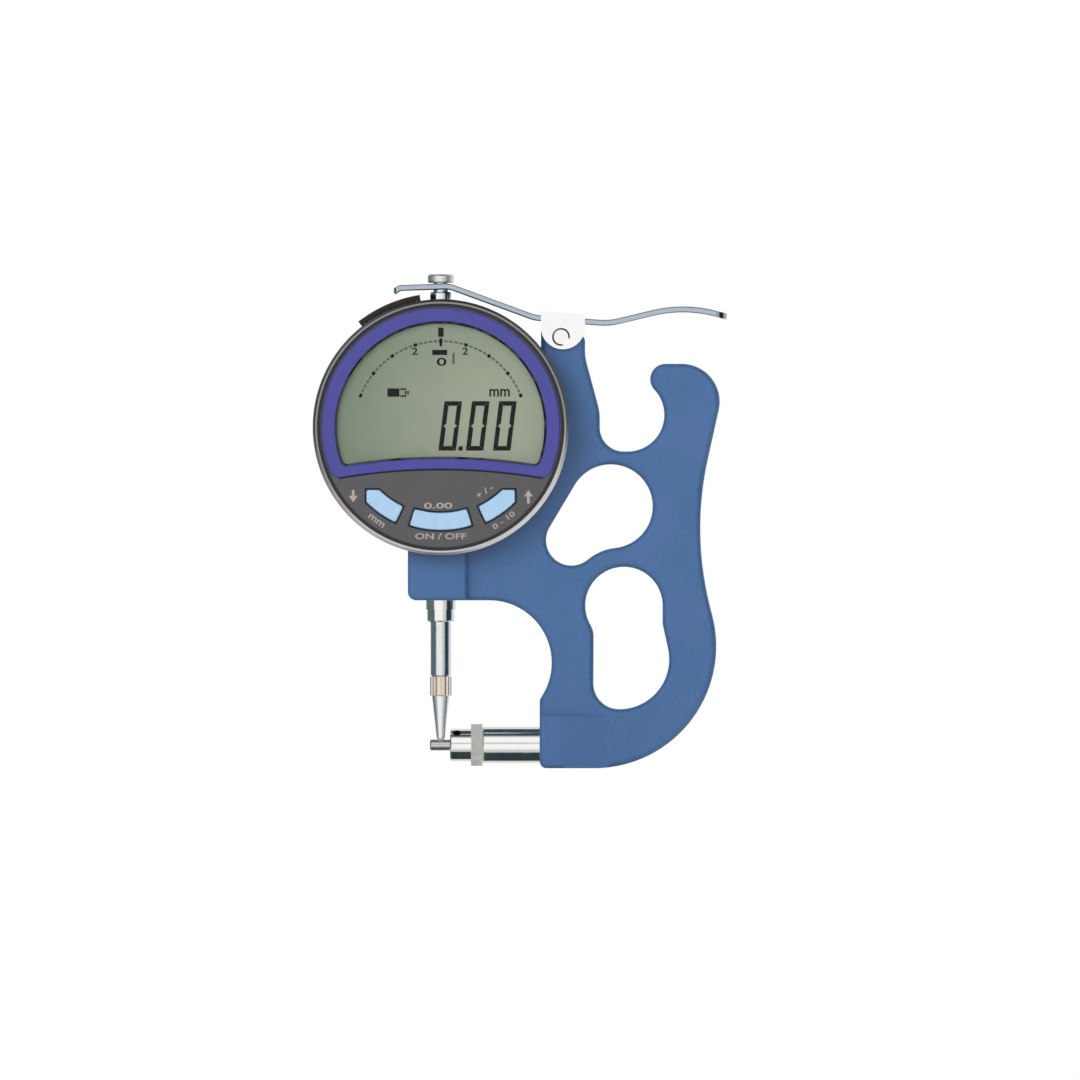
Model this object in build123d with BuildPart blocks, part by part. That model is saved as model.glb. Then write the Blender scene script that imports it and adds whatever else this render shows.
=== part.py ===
from build123d import *
import os
from math import asin, atan2, cos, degrees, hypot, radians, sin, sqrt, tan

# Digital pipe thickness gauge, in millimetres
# Seen from the front: X to the right, Z up, and the dial faces -Y
# Origin: the measuring point, on the anvil pin's axis straight below the spindle

# Measuring line
pin_diameter = 2.6
pin_overhang = 2.5
contact_gap = 0.05
tip_diameter = 1.9
cone_top_diameter = 4.1
cone_length = 10.1
knurl_diameter = 5.1
knurl_length = 4.7
knurl_grooves = 20
knurl_depth = 0.25
contact_thread = 2.5
contact_thread_length = 5.0
spindle_diameter = 4.8
spindle_travel = 10.0
neck_diameter = 3.5
shoulder_rise = 5.5
cap_diameter = 6.1
cap_height = 2.0
cap_thread = 2.5
cap_thread_length = 1.4
cap_rise = 33.8
running_gap = 0.03

# Dial and case
dial_z = 74.5
bezel_radius = 30.0
bezel_front = 13.0
bezel_back = 6.5
bezel_rim = 1.0
bezel_bevel = 0.6
bezel_lap = 2.4
case_wall = 1.8
case_back = 9.5
cover_thickness = 2.0
panel_recess = 0.5
panel_thickness = 1.6
fit_gap = 0.05
face_margin = 1.05
surround_width = 3.6
window_floor = -6.9
window_arch = 140.0
window_corner = 1.2
lens_ledge = 0.5
lens_thickness = 1.1
surround_drop = 2.9
surround_height = 0.4
surround_lap = 0.5
lcd_thickness = 1.8
lcd_lap = 0.3
lcd_drop = 3.3
board_gap = 0.2
board_thickness = 1.2
board_front = 8.4
ledge_width = 1.2
ledge_height = 2.5

# Keys
key_margin = 5.3
key_width = 4.1
key_side_x = 17.4
key_side_top = 14.7
key_side_angle = 25.4
centre_key_inset = 0.6
centre_key_width = 4.0
key_centre_angle = 17.6
key_corner = 0.6
key_stand = 0.5
key_gap = 0.15
key_flange = 0.4
key_pocket_gap = 0.1
key_flange_thickness = 0.7
key_travel = 0.4
key_crown = 0.3
mat_thickness = 0.6
mat_margin = 1.1
mat_lap = 0.1
dome_radius = 1.3
dome_angle = 37.0
dome_taper = 20.0

# Battery, back cover and fasteners
battery_diameter = 20.0
battery_thickness = 3.2
battery_offset_z = -7.0
cup_wall = 1.2
cup_floor = 0.8
cup_gap = 0.3
contact_leaf = 0.3
contact_ring = 12.0
contact_hole = 7.2
contact_arm_length = 6.0
contact_arm_width = 2.4
lid_lip = 1.2
lid_lip_thickness = 1.2
coin_slot_length = 14.0
coin_slot_width = 1.6
coin_slot_depth = 0.8
cover_edge_round = 0.8
cover_screw_inset = 1.8
cover_screw_thread = 1.6
cover_screw_head = 3.2
cover_screw_length = 6.0
cross_length = 1.92
cross_width = 0.51
cross_depth = 0.56
cover_post_radius = 2.1

# Data port on the case's upper left
port_start = 9.0
port_end = 38.0
port_rise = 2.6
port_half_depth = 4.6
port_cover_thickness = 1.2
port_cover_lap = 0.6
port_cover_round = 0.5
plug_length = 9.0
plug_depth = 4.0
plug_reach = 1.6
port_floor = 0.6

# Stem, bushes, spring and encoder
stem_diameter = 8.0
stem_nose_diameter = 7.0
stem_nose_length = 2.15
stem_bore = 6.0
seat_half_height = 23.5
nose_bush_diameter = 6.45
nose_bush_length = 2.9
nose_bush_depth = 8.0
upper_bush_diameter = 5.0
upper_bush_length = 8.2
seat_half_width = 6.6
seat_half_depth = 6.0
guide_x = 7.0
guide_width = 3.0
guide_depth = 5.0
guide_pin_diameter = 1.5
guide_pin_drop = 4.5
carrier_half_width = 4.5
carrier_front = 4.5
carrier_back = 3.2
carrier_corner = 0.9
carrier_drop = 10.5
carrier_height = 12.0
scale_width = 5.0
scale_length = 26.0
scale_thickness = 0.6
head_gap = 0.3
head_width = 12.0
head_height = 8.0
head_drop = 6.5
end_gap = 0.4
spring_wire = 0.5
spring_turns = 7

# Frame casting
web_half = 3.8
boss_half = 6.0
boss_round = 0.9
edge_round = 1.4
case_clearance = 0.7
boss_left = -7.7
boss_right = 6.2
frame_top_of_throat = 33.9
boss_corner = 2.0
throat_radius = 14.6
throat_x = 11.4
jaw_left = 23.2
jaw_bottom = -5.45
jaw_corner = 1.6
throat_exit_round = 2.0
heel_radius = 28.6
heel_x = 36.0
waist_x = 60.85
waist_z = 50.8
waist_radius = 75.0
hook_radius = 8.9
hook_x = 56.5
hook_top = 89.35
nose_radius = 3.6
notch_radius = 8.6
notch_x = 43.8
notch_floor = 68.8
gap_corner = 5.6
gap_left = 37.3
arm_right = 33.85
arm_left = 23.5
arm_bend = 12.0
arm_low_drop = 19.15
arm_high_drop = 3.15
arm_corner = 1.6
arm_shoulder_rise = 0.55
arm_top_rise = 2.75
arm_flat_end = 28.9
arm_foot_drop = 9.65
jaw_step_z = 6.8
jaw_taper_start = 28.0
jaw_taper_end = 39.5
jaw_taper_sink = 0.1
finger_a = (39.87, 55.95, 9.8)
finger_b = (30.66, 48.02, 5.95)
finger_blend = 12.0
thumb_top = (42.95, 32.7, 9.05)
thumb_heel = (41.84, 20.1, 11.7)
thumb_corner = (41.84, 14.45, 6.05)
thumb_blend_right = (58.0, 29.0, 6.0)
thumb_blend_left = (30.85, 25.5, 5.0)

# Anvil
shank_diameter = 8.5
tenon_diameter = 6.0
tenon_length = 12.0
nut_across_flats = 9.8
nut_left = 7.1
nut_thickness = 2.75
nut_bevel = 0.3
holder_left = 2.2
holder_diameter = 7.6
stud_diameter = 5.0
stud_length = 10.0
pin_seat = 6.0
pin_chamfer = 0.25
bar_chamfer = 0.3

# Set screws, each with a hexagon socket
stem_screw_diameter = 4.0
stem_screw_z = 40.0
jaw_screw_diameter = 3.0
jaw_screw_x = 29.5
pin_screw_diameter = 2.0
pin_screw_x = 3.8
pin_screw_tilt = 40.0
pin_screw_sink = 0.2
socket_size = 0.56
socket_depth = 0.45
socket_chamfer = 0.06

# Lifting lever: the strip's centre line is given as x and its drop below the cap's underside
pivot_x = 28.2
pivot_drop = 12.65
strip_thickness = 1.4
strip_width = 8.0
strip_round = 0.35
strip_corner = 3.0
fork_corner = 1.0
fork_slot = 4.0
fork_end = 2.4
strip_drops = [
    (-11.0, 2.2),
    (-9.7, 1.2),
    (2.0, 0.8),
    (22.0, 8.15),
    (39.5, 9.5),
    (57.0, 5.3),
    (67.1, 7.9),
]
strip_bends = [1.4, 6.0, 8.0, 15.0, 30.0]
saddle_left = 23.5
saddle_right = 33.8
saddle_sheet = 1.0
saddle_round = 0.1
saddle_end_rise = 2.25
lever_pin_diameter = 3.0
lever_pin_head = 4.2
lever_pin_head_height = 0.5
lever_pin_bevel = 0.4
pin_recess_radius = 1.14
clip_diameter = 5.0
clip_thickness = 0.6
clip_mouth = 1.8
clip_overhang = 0.3

# Turns and lines too small to be drawn
least_swing = 1e-6
least_turn = 1e-4
least_line = 1e-5

# Values worked out from the sizes above
pin_radius = pin_diameter / 2
contact_bottom = pin_radius + contact_gap
knurl_bottom = contact_bottom + cone_length
spindle_bottom = knurl_bottom + knurl_length
shoulder_z = dial_z + shoulder_rise
cap_under_z = dial_z + cap_rise
cap_thread_end = cap_under_z + cap_thread_length
panel_front = bezel_front - panel_recess
panel_back = panel_front - panel_thickness
panel_radius = bezel_radius - bezel_rim - fit_gap
surround_radius = panel_radius - face_margin
window_radius = surround_radius - surround_width
surround_floor = window_floor - surround_drop
lcd_radius = window_radius + lcd_lap
lcd_floor = window_floor - lcd_drop
case_front = panel_back - fit_gap
case_radius = bezel_radius - bezel_lap
case_inner = case_radius - case_wall
board_radius = case_inner - board_gap
cover_screw_radius = case_inner - cover_screw_inset
port_radius = case_radius + port_rise
key_outer_radius = bezel_radius - key_margin
key_inner_radius = key_outer_radius - key_width
key_centre_outer = key_outer_radius - centre_key_inset
key_centre_inner = key_centre_outer - centre_key_width
mat_outer_radius = key_outer_radius + mat_lap
stem_top_z = dial_z - seat_half_height
upper_bush_bottom = dial_z + seat_half_height
upper_bush_top = upper_bush_bottom + upper_bush_length
cover_outside = case_back + cover_thickness
board_back = board_front - board_thickness
lcd_front = panel_back - fit_gap
lcd_back = lcd_front - lcd_thickness
key_back = panel_back - key_flange_thickness - fit_gap
mat_top = key_back - key_travel - fit_gap
nut_right = nut_left + nut_thickness
cutout_radius = case_radius + case_clearance
guide_pin_z = dial_z - guide_pin_drop
carrier_bottom = dial_z - carrier_drop
scale_front = carrier_front + scale_thickness
head_back = scale_front + head_gap
head_centre_z = dial_z - head_drop
pivot_z = cap_under_z - pivot_drop
arm_bend_low = pivot_z - arm_low_drop
arm_bend_high = pivot_z - arm_high_drop
arm_shoulder_z = pivot_z + arm_shoulder_rise
arm_top_z = pivot_z + arm_top_rise
arm_foot_z = pivot_z - arm_foot_drop
saddle_end_z = pivot_z + saddle_end_rise
strip_path = [(x, cap_under_z - drop) for x, drop in strip_drops]
saddle_slope = atan2(strip_path[4][1] - strip_path[3][1], strip_path[4][0] - strip_path[3][0])
cup_inner = battery_diameter / 2 + cup_gap
battery_back = cover_outside - lid_lip_thickness - fit_gap
battery_front = battery_back - battery_thickness
cup_front = battery_front - contact_leaf - cup_floor


def front_plane(y):
    """Plane that faces the reader, at depth y, with its origin on the measuring line."""
    return Plane(origin=(0, y, 0), x_dir=(1, 0, 0), z_dir=(0, -1, 0))


def dial_plane(y):
    """Plane that faces the reader, at depth y, with its origin at the dial's centre."""
    return Plane(origin=(0, y, dial_z), x_dir=(1, 0, 0), z_dir=(0, -1, 0))


def belt(corners):
    """Closed outline round corners (x, z, radius), anticlockwise; a concave one has radius < 0."""
    headings = []
    for index, (x, z, radius) in enumerate(corners):
        next_x, next_z, next_radius = corners[(index + 1) % len(corners)]
        reach = hypot(next_x - x, next_z - z)
        swing = (radius - next_radius) / reach
        if abs(swing) > 1 - least_swing:
            swing = round(swing)
        headings.append(atan2(next_z - z, next_x - x) + asin(swing))
    starts = []
    ends = []
    for index, (x, z, radius) in enumerate(corners):
        arrive = headings[index - 1]
        leave = headings[index]
        starts.append((x + radius * sin(arrive), z - radius * cos(arrive)))
        ends.append((x + radius * sin(leave), z - radius * cos(leave)))
        turn = degrees(leave - arrive) % 360
        if radius < 0:
            turn -= 360
        if radius != 0 and least_turn < abs(turn) < 360 - least_turn:
            side = -90 if radius > 0 else 90
            CenterArc((x, z), abs(radius), degrees(arrive) + side, turn)
    for index, end in enumerate(ends):
        start = starts[(index + 1) % len(corners)]
        if hypot(start[0] - end[0], start[1] - end[1]) > least_line:
            Line(end, start)


def blend_centre(first, second, radius):
    """Centre of the circle of that radius that touches two others from outside, below them."""
    x1, z1, r1 = first
    x2, z2, r2 = second
    reach = hypot(x2 - x1, z2 - z1)
    side1 = r1 + radius
    side2 = r2 + radius
    along = (reach ** 2 + side1 ** 2 - side2 ** 2) / (2 * reach)
    across = sqrt(side1 ** 2 - along ** 2)
    ux, uz = (x2 - x1) / reach, (z2 - z1) / reach
    return x1 + along * ux - across * uz, z1 + along * uz + across * ux


def half_profile(points):
    """Closed face between a turned piece's axis and the points given from one end to the other."""
    with BuildLine() as outline:
        Polyline(*points, close=True)
    make_face(outline.edges())


def draw_frame_outline():
    """The casting's outline with its finger holes and the round cut-out behind the dial."""
    throat_z = frame_top_of_throat - throat_radius
    exit_x = jaw_left + throat_exit_round
    exit_reach = throat_radius + throat_exit_round
    exit_z = throat_z - sqrt(exit_reach ** 2 - (exit_x - throat_x) ** 2)
    notch_z = notch_floor + notch_radius
    nose_z = hook_top - nose_radius
    nose_rise = (nose_z - notch_z) / (notch_radius + nose_radius)
    nose_x = notch_x + (notch_radius + nose_radius) * sqrt(1 - nose_rise ** 2)
    corners = [
        (boss_left + boss_corner, frame_top_of_throat + boss_corner, boss_corner),
        (throat_x, throat_z, -throat_radius),
        (exit_x, exit_z, throat_exit_round),
        (jaw_left + jaw_corner, jaw_bottom + jaw_corner, jaw_corner),
        (heel_x, jaw_bottom + heel_radius, heel_radius),
        (waist_x + waist_radius, waist_z, -waist_radius),
        (hook_x, hook_top - hook_radius, hook_radius),
        (nose_x, nose_z, nose_radius),
        (notch_x, notch_z, -notch_radius),
        (gap_left + gap_corner, notch_floor + gap_corner, -gap_corner),
        (gap_left - arm_bend, arm_bend_low, arm_bend),
        (arm_right + arm_bend, arm_bend_high, -arm_bend),
        (arm_right - arm_corner, arm_shoulder_z - arm_corner, arm_corner),
        (arm_flat_end, arm_top_z - arm_corner, arm_corner),
        (arm_left + arm_corner, arm_top_z - arm_corner, arm_corner),
        (arm_left, arm_foot_z, 0),
        (boss_left, dial_z - case_radius / 2, 0),
    ]
    with BuildLine() as outside:
        belt(corners)
    make_face(outside.edges())
    blend_x, blend_z = blend_centre(finger_a, finger_b, finger_blend)
    with BuildLine() as finger_hole:
        belt([finger_a, finger_b, (blend_x, blend_z, -finger_blend)])
    make_face(finger_hole.edges(), mode=Mode.SUBTRACT)
    right_x, right_z, right_r = thumb_blend_right
    left_x, left_z, left_r = thumb_blend_left
    with BuildLine() as thumb_hole:
        belt([thumb_top, (left_x, left_z, -left_r), thumb_corner, thumb_heel, (right_x, right_z, -right_r)])
    make_face(thumb_hole.edges(), mode=Mode.SUBTRACT)
    with Locations((0, dial_z)):
        Circle(cutout_radius, mode=Mode.SUBTRACT)


def draw_window(radius, floor):
    """Disc with its lower part cut off along a gently arched floor."""
    Circle(radius)
    with Locations((0, floor - window_arch)):
        Circle(window_arch, mode=Mode.SUBTRACT)


def draw_side_key(side):
    """Outline of the left (-1) or right (+1) key in the dial's plane."""
    lean = tan(radians(key_side_angle))
    low = key_outer_radius
    Circle(key_outer_radius)
    Circle(key_inner_radius, mode=Mode.SUBTRACT)
    with BuildLine() as limits:
        Polyline(
            (side * key_side_top * lean, -key_side_top),
            (side * low * lean, -low),
            (side * key_side_x, -low),
            (side * key_side_x, -key_side_top),
            close=True,
        )
    make_face(limits.edges(), mode=Mode.INTERSECT)


def draw_centre_key():
    """Outline of the curved middle key in the dial's plane."""
    reach = bezel_radius
    half = reach * tan(radians(key_centre_angle))
    Circle(key_centre_outer)
    Circle(key_centre_inner, mode=Mode.SUBTRACT)
    with BuildLine() as wedge:
        Polyline((0, 0), (-half, -reach), (half, -reach), close=True)
    make_face(wedge.edges(), mode=Mode.INTERSECT)


def draw_key(name, grow):
    """One key's outline with rounded corners, grown by a clearance or a flange."""
    if name == "centre":
        draw_centre_key()
    else:
        draw_side_key(-1 if name == "left" else 1)
    fillet(vertices(), key_corner)
    if grow:
        offset(amount=grow, kind=Kind.ARC)


# Frame casting: the thicker stem boss and jaw boss first, then the web that they stand on
with BuildPart() as stem_boss:
    boss_top = dial_z - case_radius
    with BuildSketch(front_plane(0)):
        with BuildLine():
            belt([
                (boss_left + boss_corner, frame_top_of_throat + boss_corner, boss_corner),
                (boss_right, frame_top_of_throat, 0),
                (boss_right, boss_top, 0),
                (boss_left, boss_top, 0),
            ])
        make_face()
        with Locations((0, dial_z)):
            Circle(cutout_radius, mode=Mode.SUBTRACT)
    extrude(amount=boss_half, both=True)
    fillet(stem_boss.faces().sort_by(Axis.Y)[0].edges(), boss_round)
    fillet(stem_boss.faces().sort_by(Axis.Y)[-1].edges(), boss_round)

with BuildPart() as jaw_boss:
    with BuildSketch(front_plane(0)):
        draw_frame_outline()
        with Locations((jaw_left, jaw_step_z)):
            Rectangle(
                2 * (jaw_taper_end - jaw_left),
                2 * (jaw_step_z - jaw_bottom),
                align=(Align.CENTER, Align.MAX),
                mode=Mode.INTERSECT,
            )
    extrude(amount=boss_half, both=True)
    with BuildSketch(Plane.XY.offset(jaw_bottom)):
        with BuildLine():
            Polyline(
                (jaw_left, -boss_half),
                (jaw_taper_start, -boss_half),
                (jaw_taper_end, -web_half + jaw_taper_sink),
                (jaw_taper_end, web_half - jaw_taper_sink),
                (jaw_taper_start, boss_half),
                (jaw_left, boss_half),
                close=True,
            )
        make_face()
    extrude(amount=jaw_step_z - jaw_bottom, mode=Mode.INTERSECT)
    fillet(jaw_boss.faces().sort_by(Axis.X)[0].edges(), boss_round)

with BuildPart() as frame_casting:
    with BuildSketch(front_plane(0)):
        draw_frame_outline()
    extrude(amount=web_half, both=True)
    fillet(frame_casting.faces().sort_by(Axis.Y)[0].edges(), edge_round)
    fillet(frame_casting.faces().sort_by(Axis.Y)[-1].edges(), edge_round)
    add(stem_boss.part)
    add(jaw_boss.part)
    with Locations(Plane.XY.offset(frame_top_of_throat)):
        Cylinder(
            stem_diameter / 2,
            dial_z,
            align=(Align.CENTER, Align.CENTER, Align.MIN),
            mode=Mode.SUBTRACT,
        )
    with Locations(Plane(origin=(jaw_left, 0, 0), z_dir=(1, 0, 0))):
        Cylinder(
            tenon_diameter / 2,
            tenon_length + fit_gap,
            align=(Align.CENTER, Align.CENTER, Align.MIN),
            mode=Mode.SUBTRACT,
        )
    with Locations(Plane(origin=(boss_left, 0, stem_screw_z), z_dir=(1, 0, 0))):
        Cylinder(
            stem_screw_diameter / 2,
            -boss_left,
            align=(Align.CENTER, Align.CENTER, Align.MIN),
            mode=Mode.SUBTRACT,
        )
    with Locations((jaw_screw_x, 0, jaw_bottom)):
        Cylinder(
            jaw_screw_diameter / 2,
            -jaw_bottom,
            align=(Align.CENTER, Align.CENTER, Align.MIN),
            mode=Mode.SUBTRACT,
        )
    with Locations(Plane(origin=(pivot_x, 0, pivot_z), z_dir=(0, 1, 0))):
        Cylinder(lever_pin_diameter / 2 + running_gap, 2 * boss_half, mode=Mode.SUBTRACT)


def socket_screw(diameter, length):
    """Headless screw along +Z from its open end at the origin, with a hexagon socket."""
    with BuildPart() as screw:
        Cylinder(diameter / 2, length, align=(Align.CENTER, Align.CENTER, Align.MIN))
        chamfer(screw.edges().filter_by(GeomType.CIRCLE), diameter * socket_chamfer)
        with BuildSketch(Plane.XY):
            RegularPolygon(diameter * socket_size / 2, 6)
        extrude(amount=length * socket_depth, mode=Mode.SUBTRACT)
    return screw.part


stem_screw_solid = socket_screw(stem_screw_diameter, -boss_left - fit_gap - stem_diameter / 2)
with BuildPart() as stem_set_screw:
    with Locations(Plane(origin=(boss_left + fit_gap, 0, stem_screw_z), z_dir=(1, 0, 0))):
        add(stem_screw_solid)

jaw_screw_solid = socket_screw(jaw_screw_diameter, -jaw_bottom - fit_gap - tenon_diameter / 2)
with BuildPart() as anvil_clamp_screw:
    with Locations((jaw_screw_x, 0, jaw_bottom + fit_gap)):
        add(jaw_screw_solid)

# Anvil: shank in the jaw, screwed-in holder, thin lock nut and the pin that enters the pipe
with BuildPart() as anvil_shank:
    with BuildSketch(Plane.XZ):
        half_profile([
            (nut_right, 0),
            (nut_right, shank_diameter / 2 - bar_chamfer),
            (nut_right + bar_chamfer, shank_diameter / 2),
            (jaw_left, shank_diameter / 2),
            (jaw_left, tenon_diameter / 2),
            (jaw_left + tenon_length, tenon_diameter / 2),
            (jaw_left + tenon_length, 0),
        ])
    revolve(axis=Axis.X)
    with Locations(Plane(origin=(nut_right, 0, 0), z_dir=(1, 0, 0))):
        Cylinder(
            stud_diameter / 2,
            stud_length + fit_gap,
            align=(Align.CENTER, Align.CENTER, Align.MIN),
            mode=Mode.SUBTRACT,
        )

pin_screw_out = Vector(0, -sin(radians(pin_screw_tilt)), cos(radians(pin_screw_tilt)))
with BuildPart() as anvil_holder:
    with BuildSketch(Plane.XZ):
        half_profile([
            (holder_left, 0),
            (holder_left, holder_diameter / 2 - bar_chamfer),
            (holder_left + bar_chamfer, holder_diameter / 2),
            (nut_left, holder_diameter / 2),
            (nut_left, stud_diameter / 2),
            (nut_right + stud_length, stud_diameter / 2),
            (nut_right + stud_length, 0),
        ])
    revolve(axis=Axis.X)
    with Locations(Plane(origin=(holder_left, 0, 0), z_dir=(1, 0, 0))):
        Cylinder(pin_radius, pin_seat, align=(Align.CENTER, Align.CENTER, Align.MIN), mode=Mode.SUBTRACT)
    with Locations(Plane(origin=(pin_screw_x, 0, 0), z_dir=pin_screw_out)):
        Cylinder(
            pin_screw_diameter / 2,
            holder_diameter,
            align=(Align.CENTER, Align.CENTER, Align.MIN),
            mode=Mode.SUBTRACT,
        )

with BuildPart() as anvil_lock_nut:
    with BuildSketch(Plane(origin=(nut_left, 0, 0), x_dir=(0, 1, 0), z_dir=(1, 0, 0))):
        RegularPolygon(nut_across_flats / 2, 6, major_radius=False)
        Circle(stud_diameter / 2, mode=Mode.SUBTRACT)
    extrude(amount=nut_thickness)
    with BuildSketch(Plane.XZ):
        nut_corner = nut_across_flats / sqrt(3) + nut_bevel / 2
        half_profile([
            (nut_left, 0),
            (nut_left, nut_across_flats / 2),
            (nut_left + nut_bevel, nut_corner),
            (nut_right - nut_bevel, nut_corner),
            (nut_right, nut_across_flats / 2),
            (nut_right, 0),
        ])
    revolve(axis=Axis.X, mode=Mode.INTERSECT)

with BuildPart() as anvil_pin:
    with BuildSketch(Plane.XZ):
        half_profile([
            (-pin_overhang, 0),
            (-pin_overhang, pin_radius - pin_chamfer),
            (-pin_overhang + pin_chamfer, pin_radius),
            (holder_left + pin_seat, pin_radius),
            (holder_left + pin_seat, 0),
        ])
    revolve(axis=Axis.X)

pin_screw_top = holder_diameter / 2 - pin_screw_sink
pin_screw_solid = socket_screw(pin_screw_diameter, pin_screw_top - pin_radius)
pin_screw_start = Vector(pin_screw_x, 0, 0) + pin_screw_out * pin_screw_top
with BuildPart() as anvil_pin_screw:
    with Locations(Plane(origin=pin_screw_start, z_dir=-pin_screw_out)):
        add(pin_screw_solid)

# Measuring spindle with its contact point, lifting cap and the encoder's moving half
with BuildPart() as spindle:
    with BuildSketch(Plane.XZ):
        half_profile([
            (0, spindle_bottom + contact_thread_length),
            (contact_thread / 2, spindle_bottom + contact_thread_length),
            (contact_thread / 2, spindle_bottom),
            (spindle_diameter / 2 - bar_chamfer, spindle_bottom),
            (spindle_diameter / 2, spindle_bottom + bar_chamfer),
            (spindle_diameter / 2, shoulder_z),
            (neck_diameter / 2, shoulder_z),
            (neck_diameter / 2, cap_under_z),
            (cap_thread / 2, cap_under_z),
            (cap_thread / 2, cap_thread_end),
            (0, cap_thread_end),
        ])
    revolve(axis=Axis.Z)

with BuildPart() as lifting_cap:
    with BuildSketch(Plane.XZ):
        half_profile([
            (0, cap_thread_end),
            (cap_thread / 2, cap_thread_end),
            (cap_thread / 2, cap_under_z),
            (cap_diameter / 2 - bar_chamfer, cap_under_z),
            (cap_diameter / 2, cap_under_z + bar_chamfer),
            (cap_diameter / 2, cap_under_z + cap_height - bar_chamfer),
            (cap_diameter / 2 - bar_chamfer, cap_under_z + cap_height),
            (0, cap_under_z + cap_height),
        ])
    revolve(axis=Axis.Z)

with BuildPart() as contact_point:
    stud_end = spindle_bottom + contact_thread_length - fit_gap
    with BuildSketch(Plane.XZ):
        half_profile([
            (0, contact_bottom),
            (tip_diameter / 2 - bar_chamfer, contact_bottom),
            (tip_diameter / 2, contact_bottom + bar_chamfer),
            (cone_top_diameter / 2, knurl_bottom),
            (knurl_diameter / 2 - knurl_depth, knurl_bottom),
            (knurl_diameter / 2, knurl_bottom + knurl_depth),
            (knurl_diameter / 2, spindle_bottom - knurl_depth),
            (knurl_diameter / 2 - knurl_depth, spindle_bottom),
            (contact_thread / 2, spindle_bottom),
            (contact_thread / 2, stud_end),
            (0, stud_end),
        ])
    revolve(axis=Axis.Z)
    with BuildSketch(Plane.XY.offset(knurl_bottom)):
        with PolarLocations(knurl_diameter / 2, knurl_grooves):
            RegularPolygon(knurl_depth, 4)
    extrude(amount=knurl_length, mode=Mode.SUBTRACT)

with BuildPart() as encoder_carrier:
    with BuildSketch(Plane.XY.offset(carrier_bottom)):
        with BuildLine():
            Polyline(
                (-carrier_half_width, -carrier_front),
                (carrier_half_width, -carrier_front),
                (carrier_half_width, carrier_back),
                (-carrier_half_width, carrier_back),
                close=True,
            )
        make_face()
        fillet(vertices(), carrier_corner)
        Circle(spindle_diameter / 2, mode=Mode.SUBTRACT)
    extrude(amount=carrier_height)
    with Locations(Plane(origin=(0, 0, guide_pin_z), z_dir=(1, 0, 0))):
        Cylinder(
            guide_pin_diameter / 2,
            2 * carrier_half_width,
            align=(Align.CENTER, Align.CENTER, Align.MIN),
            mode=Mode.SUBTRACT,
        )

with BuildPart() as encoder_scale:
    with BuildSketch(front_plane(-carrier_front)):
        with Locations((0, carrier_bottom + carrier_height / 2)):
            Rectangle(scale_width, scale_length)
    extrude(amount=scale_thickness)

with BuildPart() as guide_pin:
    with Locations(Plane(origin=(spindle_diameter / 2, 0, guide_pin_z), z_dir=(1, 0, 0))):
        Cylinder(
            guide_pin_diameter / 2,
            guide_x + guide_width - end_gap - spindle_diameter / 2,
            align=(Align.CENTER, Align.CENTER, Align.MIN),
        )
    chamfer(guide_pin.edges().sort_by(Axis.X)[-1], pin_chamfer)

# Stem, bushes, guide and return spring
with BuildPart() as stem:
    nose_z = frame_top_of_throat - stem_nose_length
    with BuildSketch(Plane.XZ):
        half_profile([
            (stem_bore / 2, nose_z),
            (stem_nose_diameter / 2, nose_z),
            (stem_nose_diameter / 2, frame_top_of_throat),
            (stem_diameter / 2, frame_top_of_throat),
            (stem_diameter / 2, stem_top_z - bar_chamfer),
            (stem_diameter / 2 - bar_chamfer, stem_top_z),
            (stem_bore / 2, stem_top_z),
        ])
    revolve(axis=Axis.Z)

with BuildPart() as lower_bush:
    bush_bore = spindle_diameter / 2 + running_gap
    with BuildSketch(Plane.XZ):
        half_profile([
            (bush_bore, nose_z - nose_bush_length),
            (nose_bush_diameter / 2 - bar_chamfer, nose_z - nose_bush_length),
            (nose_bush_diameter / 2, nose_z - nose_bush_length + bar_chamfer),
            (nose_bush_diameter / 2, nose_z),
            (stem_bore / 2, nose_z),
            (stem_bore / 2, nose_z + nose_bush_depth),
            (bush_bore, nose_z + nose_bush_depth),
        ])
    revolve(axis=Axis.Z)

with BuildPart() as upper_bush:
    neck_bore = neck_diameter / 2 + running_gap
    with BuildSketch(Plane.XZ):
        half_profile([
            (neck_bore, upper_bush_bottom),
            (upper_bush_diameter / 2, upper_bush_bottom),
            (upper_bush_diameter / 2, upper_bush_top - bar_chamfer),
            (upper_bush_diameter / 2 - bar_chamfer, upper_bush_top),
            (neck_bore, upper_bush_top),
        ])
    revolve(axis=Axis.Z)

with BuildPart() as guide_rail:
    with BuildSketch(Plane.XY.offset(stem_top_z)):
        with Locations((guide_x + guide_width / 2, 0)):
            Rectangle(guide_width, guide_depth)
    extrude(amount=upper_bush_bottom - stem_top_z)
    slot_bottom = guide_pin_z - guide_pin_diameter
    slot_height = spindle_travel + 2 * guide_pin_diameter
    with BuildSketch(Plane.YZ.offset(guide_x)):
        with Locations((0, slot_bottom + slot_height / 2)):
            SlotOverall(slot_height, guide_pin_diameter + 2 * running_gap, rotation=90)
    extrude(amount=guide_width, mode=Mode.SUBTRACT)

with BuildPart() as return_spring:
    coil_radius = (neck_diameter + spindle_diameter) / 4
    coil_height = upper_bush_bottom - shoulder_z - spring_wire - 2 * fit_gap
    coil_start = shoulder_z + spring_wire / 2 + fit_gap
    with BuildLine():
        coil = Helix(coil_height / spring_turns, coil_height, coil_radius, center=(0, 0, coil_start))
    with BuildSketch(Plane(origin=coil @ 0, z_dir=coil % 0)):
        RegularPolygon(spring_wire / 2, 6)
    sweep(path=coil, is_frenet=True)

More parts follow.
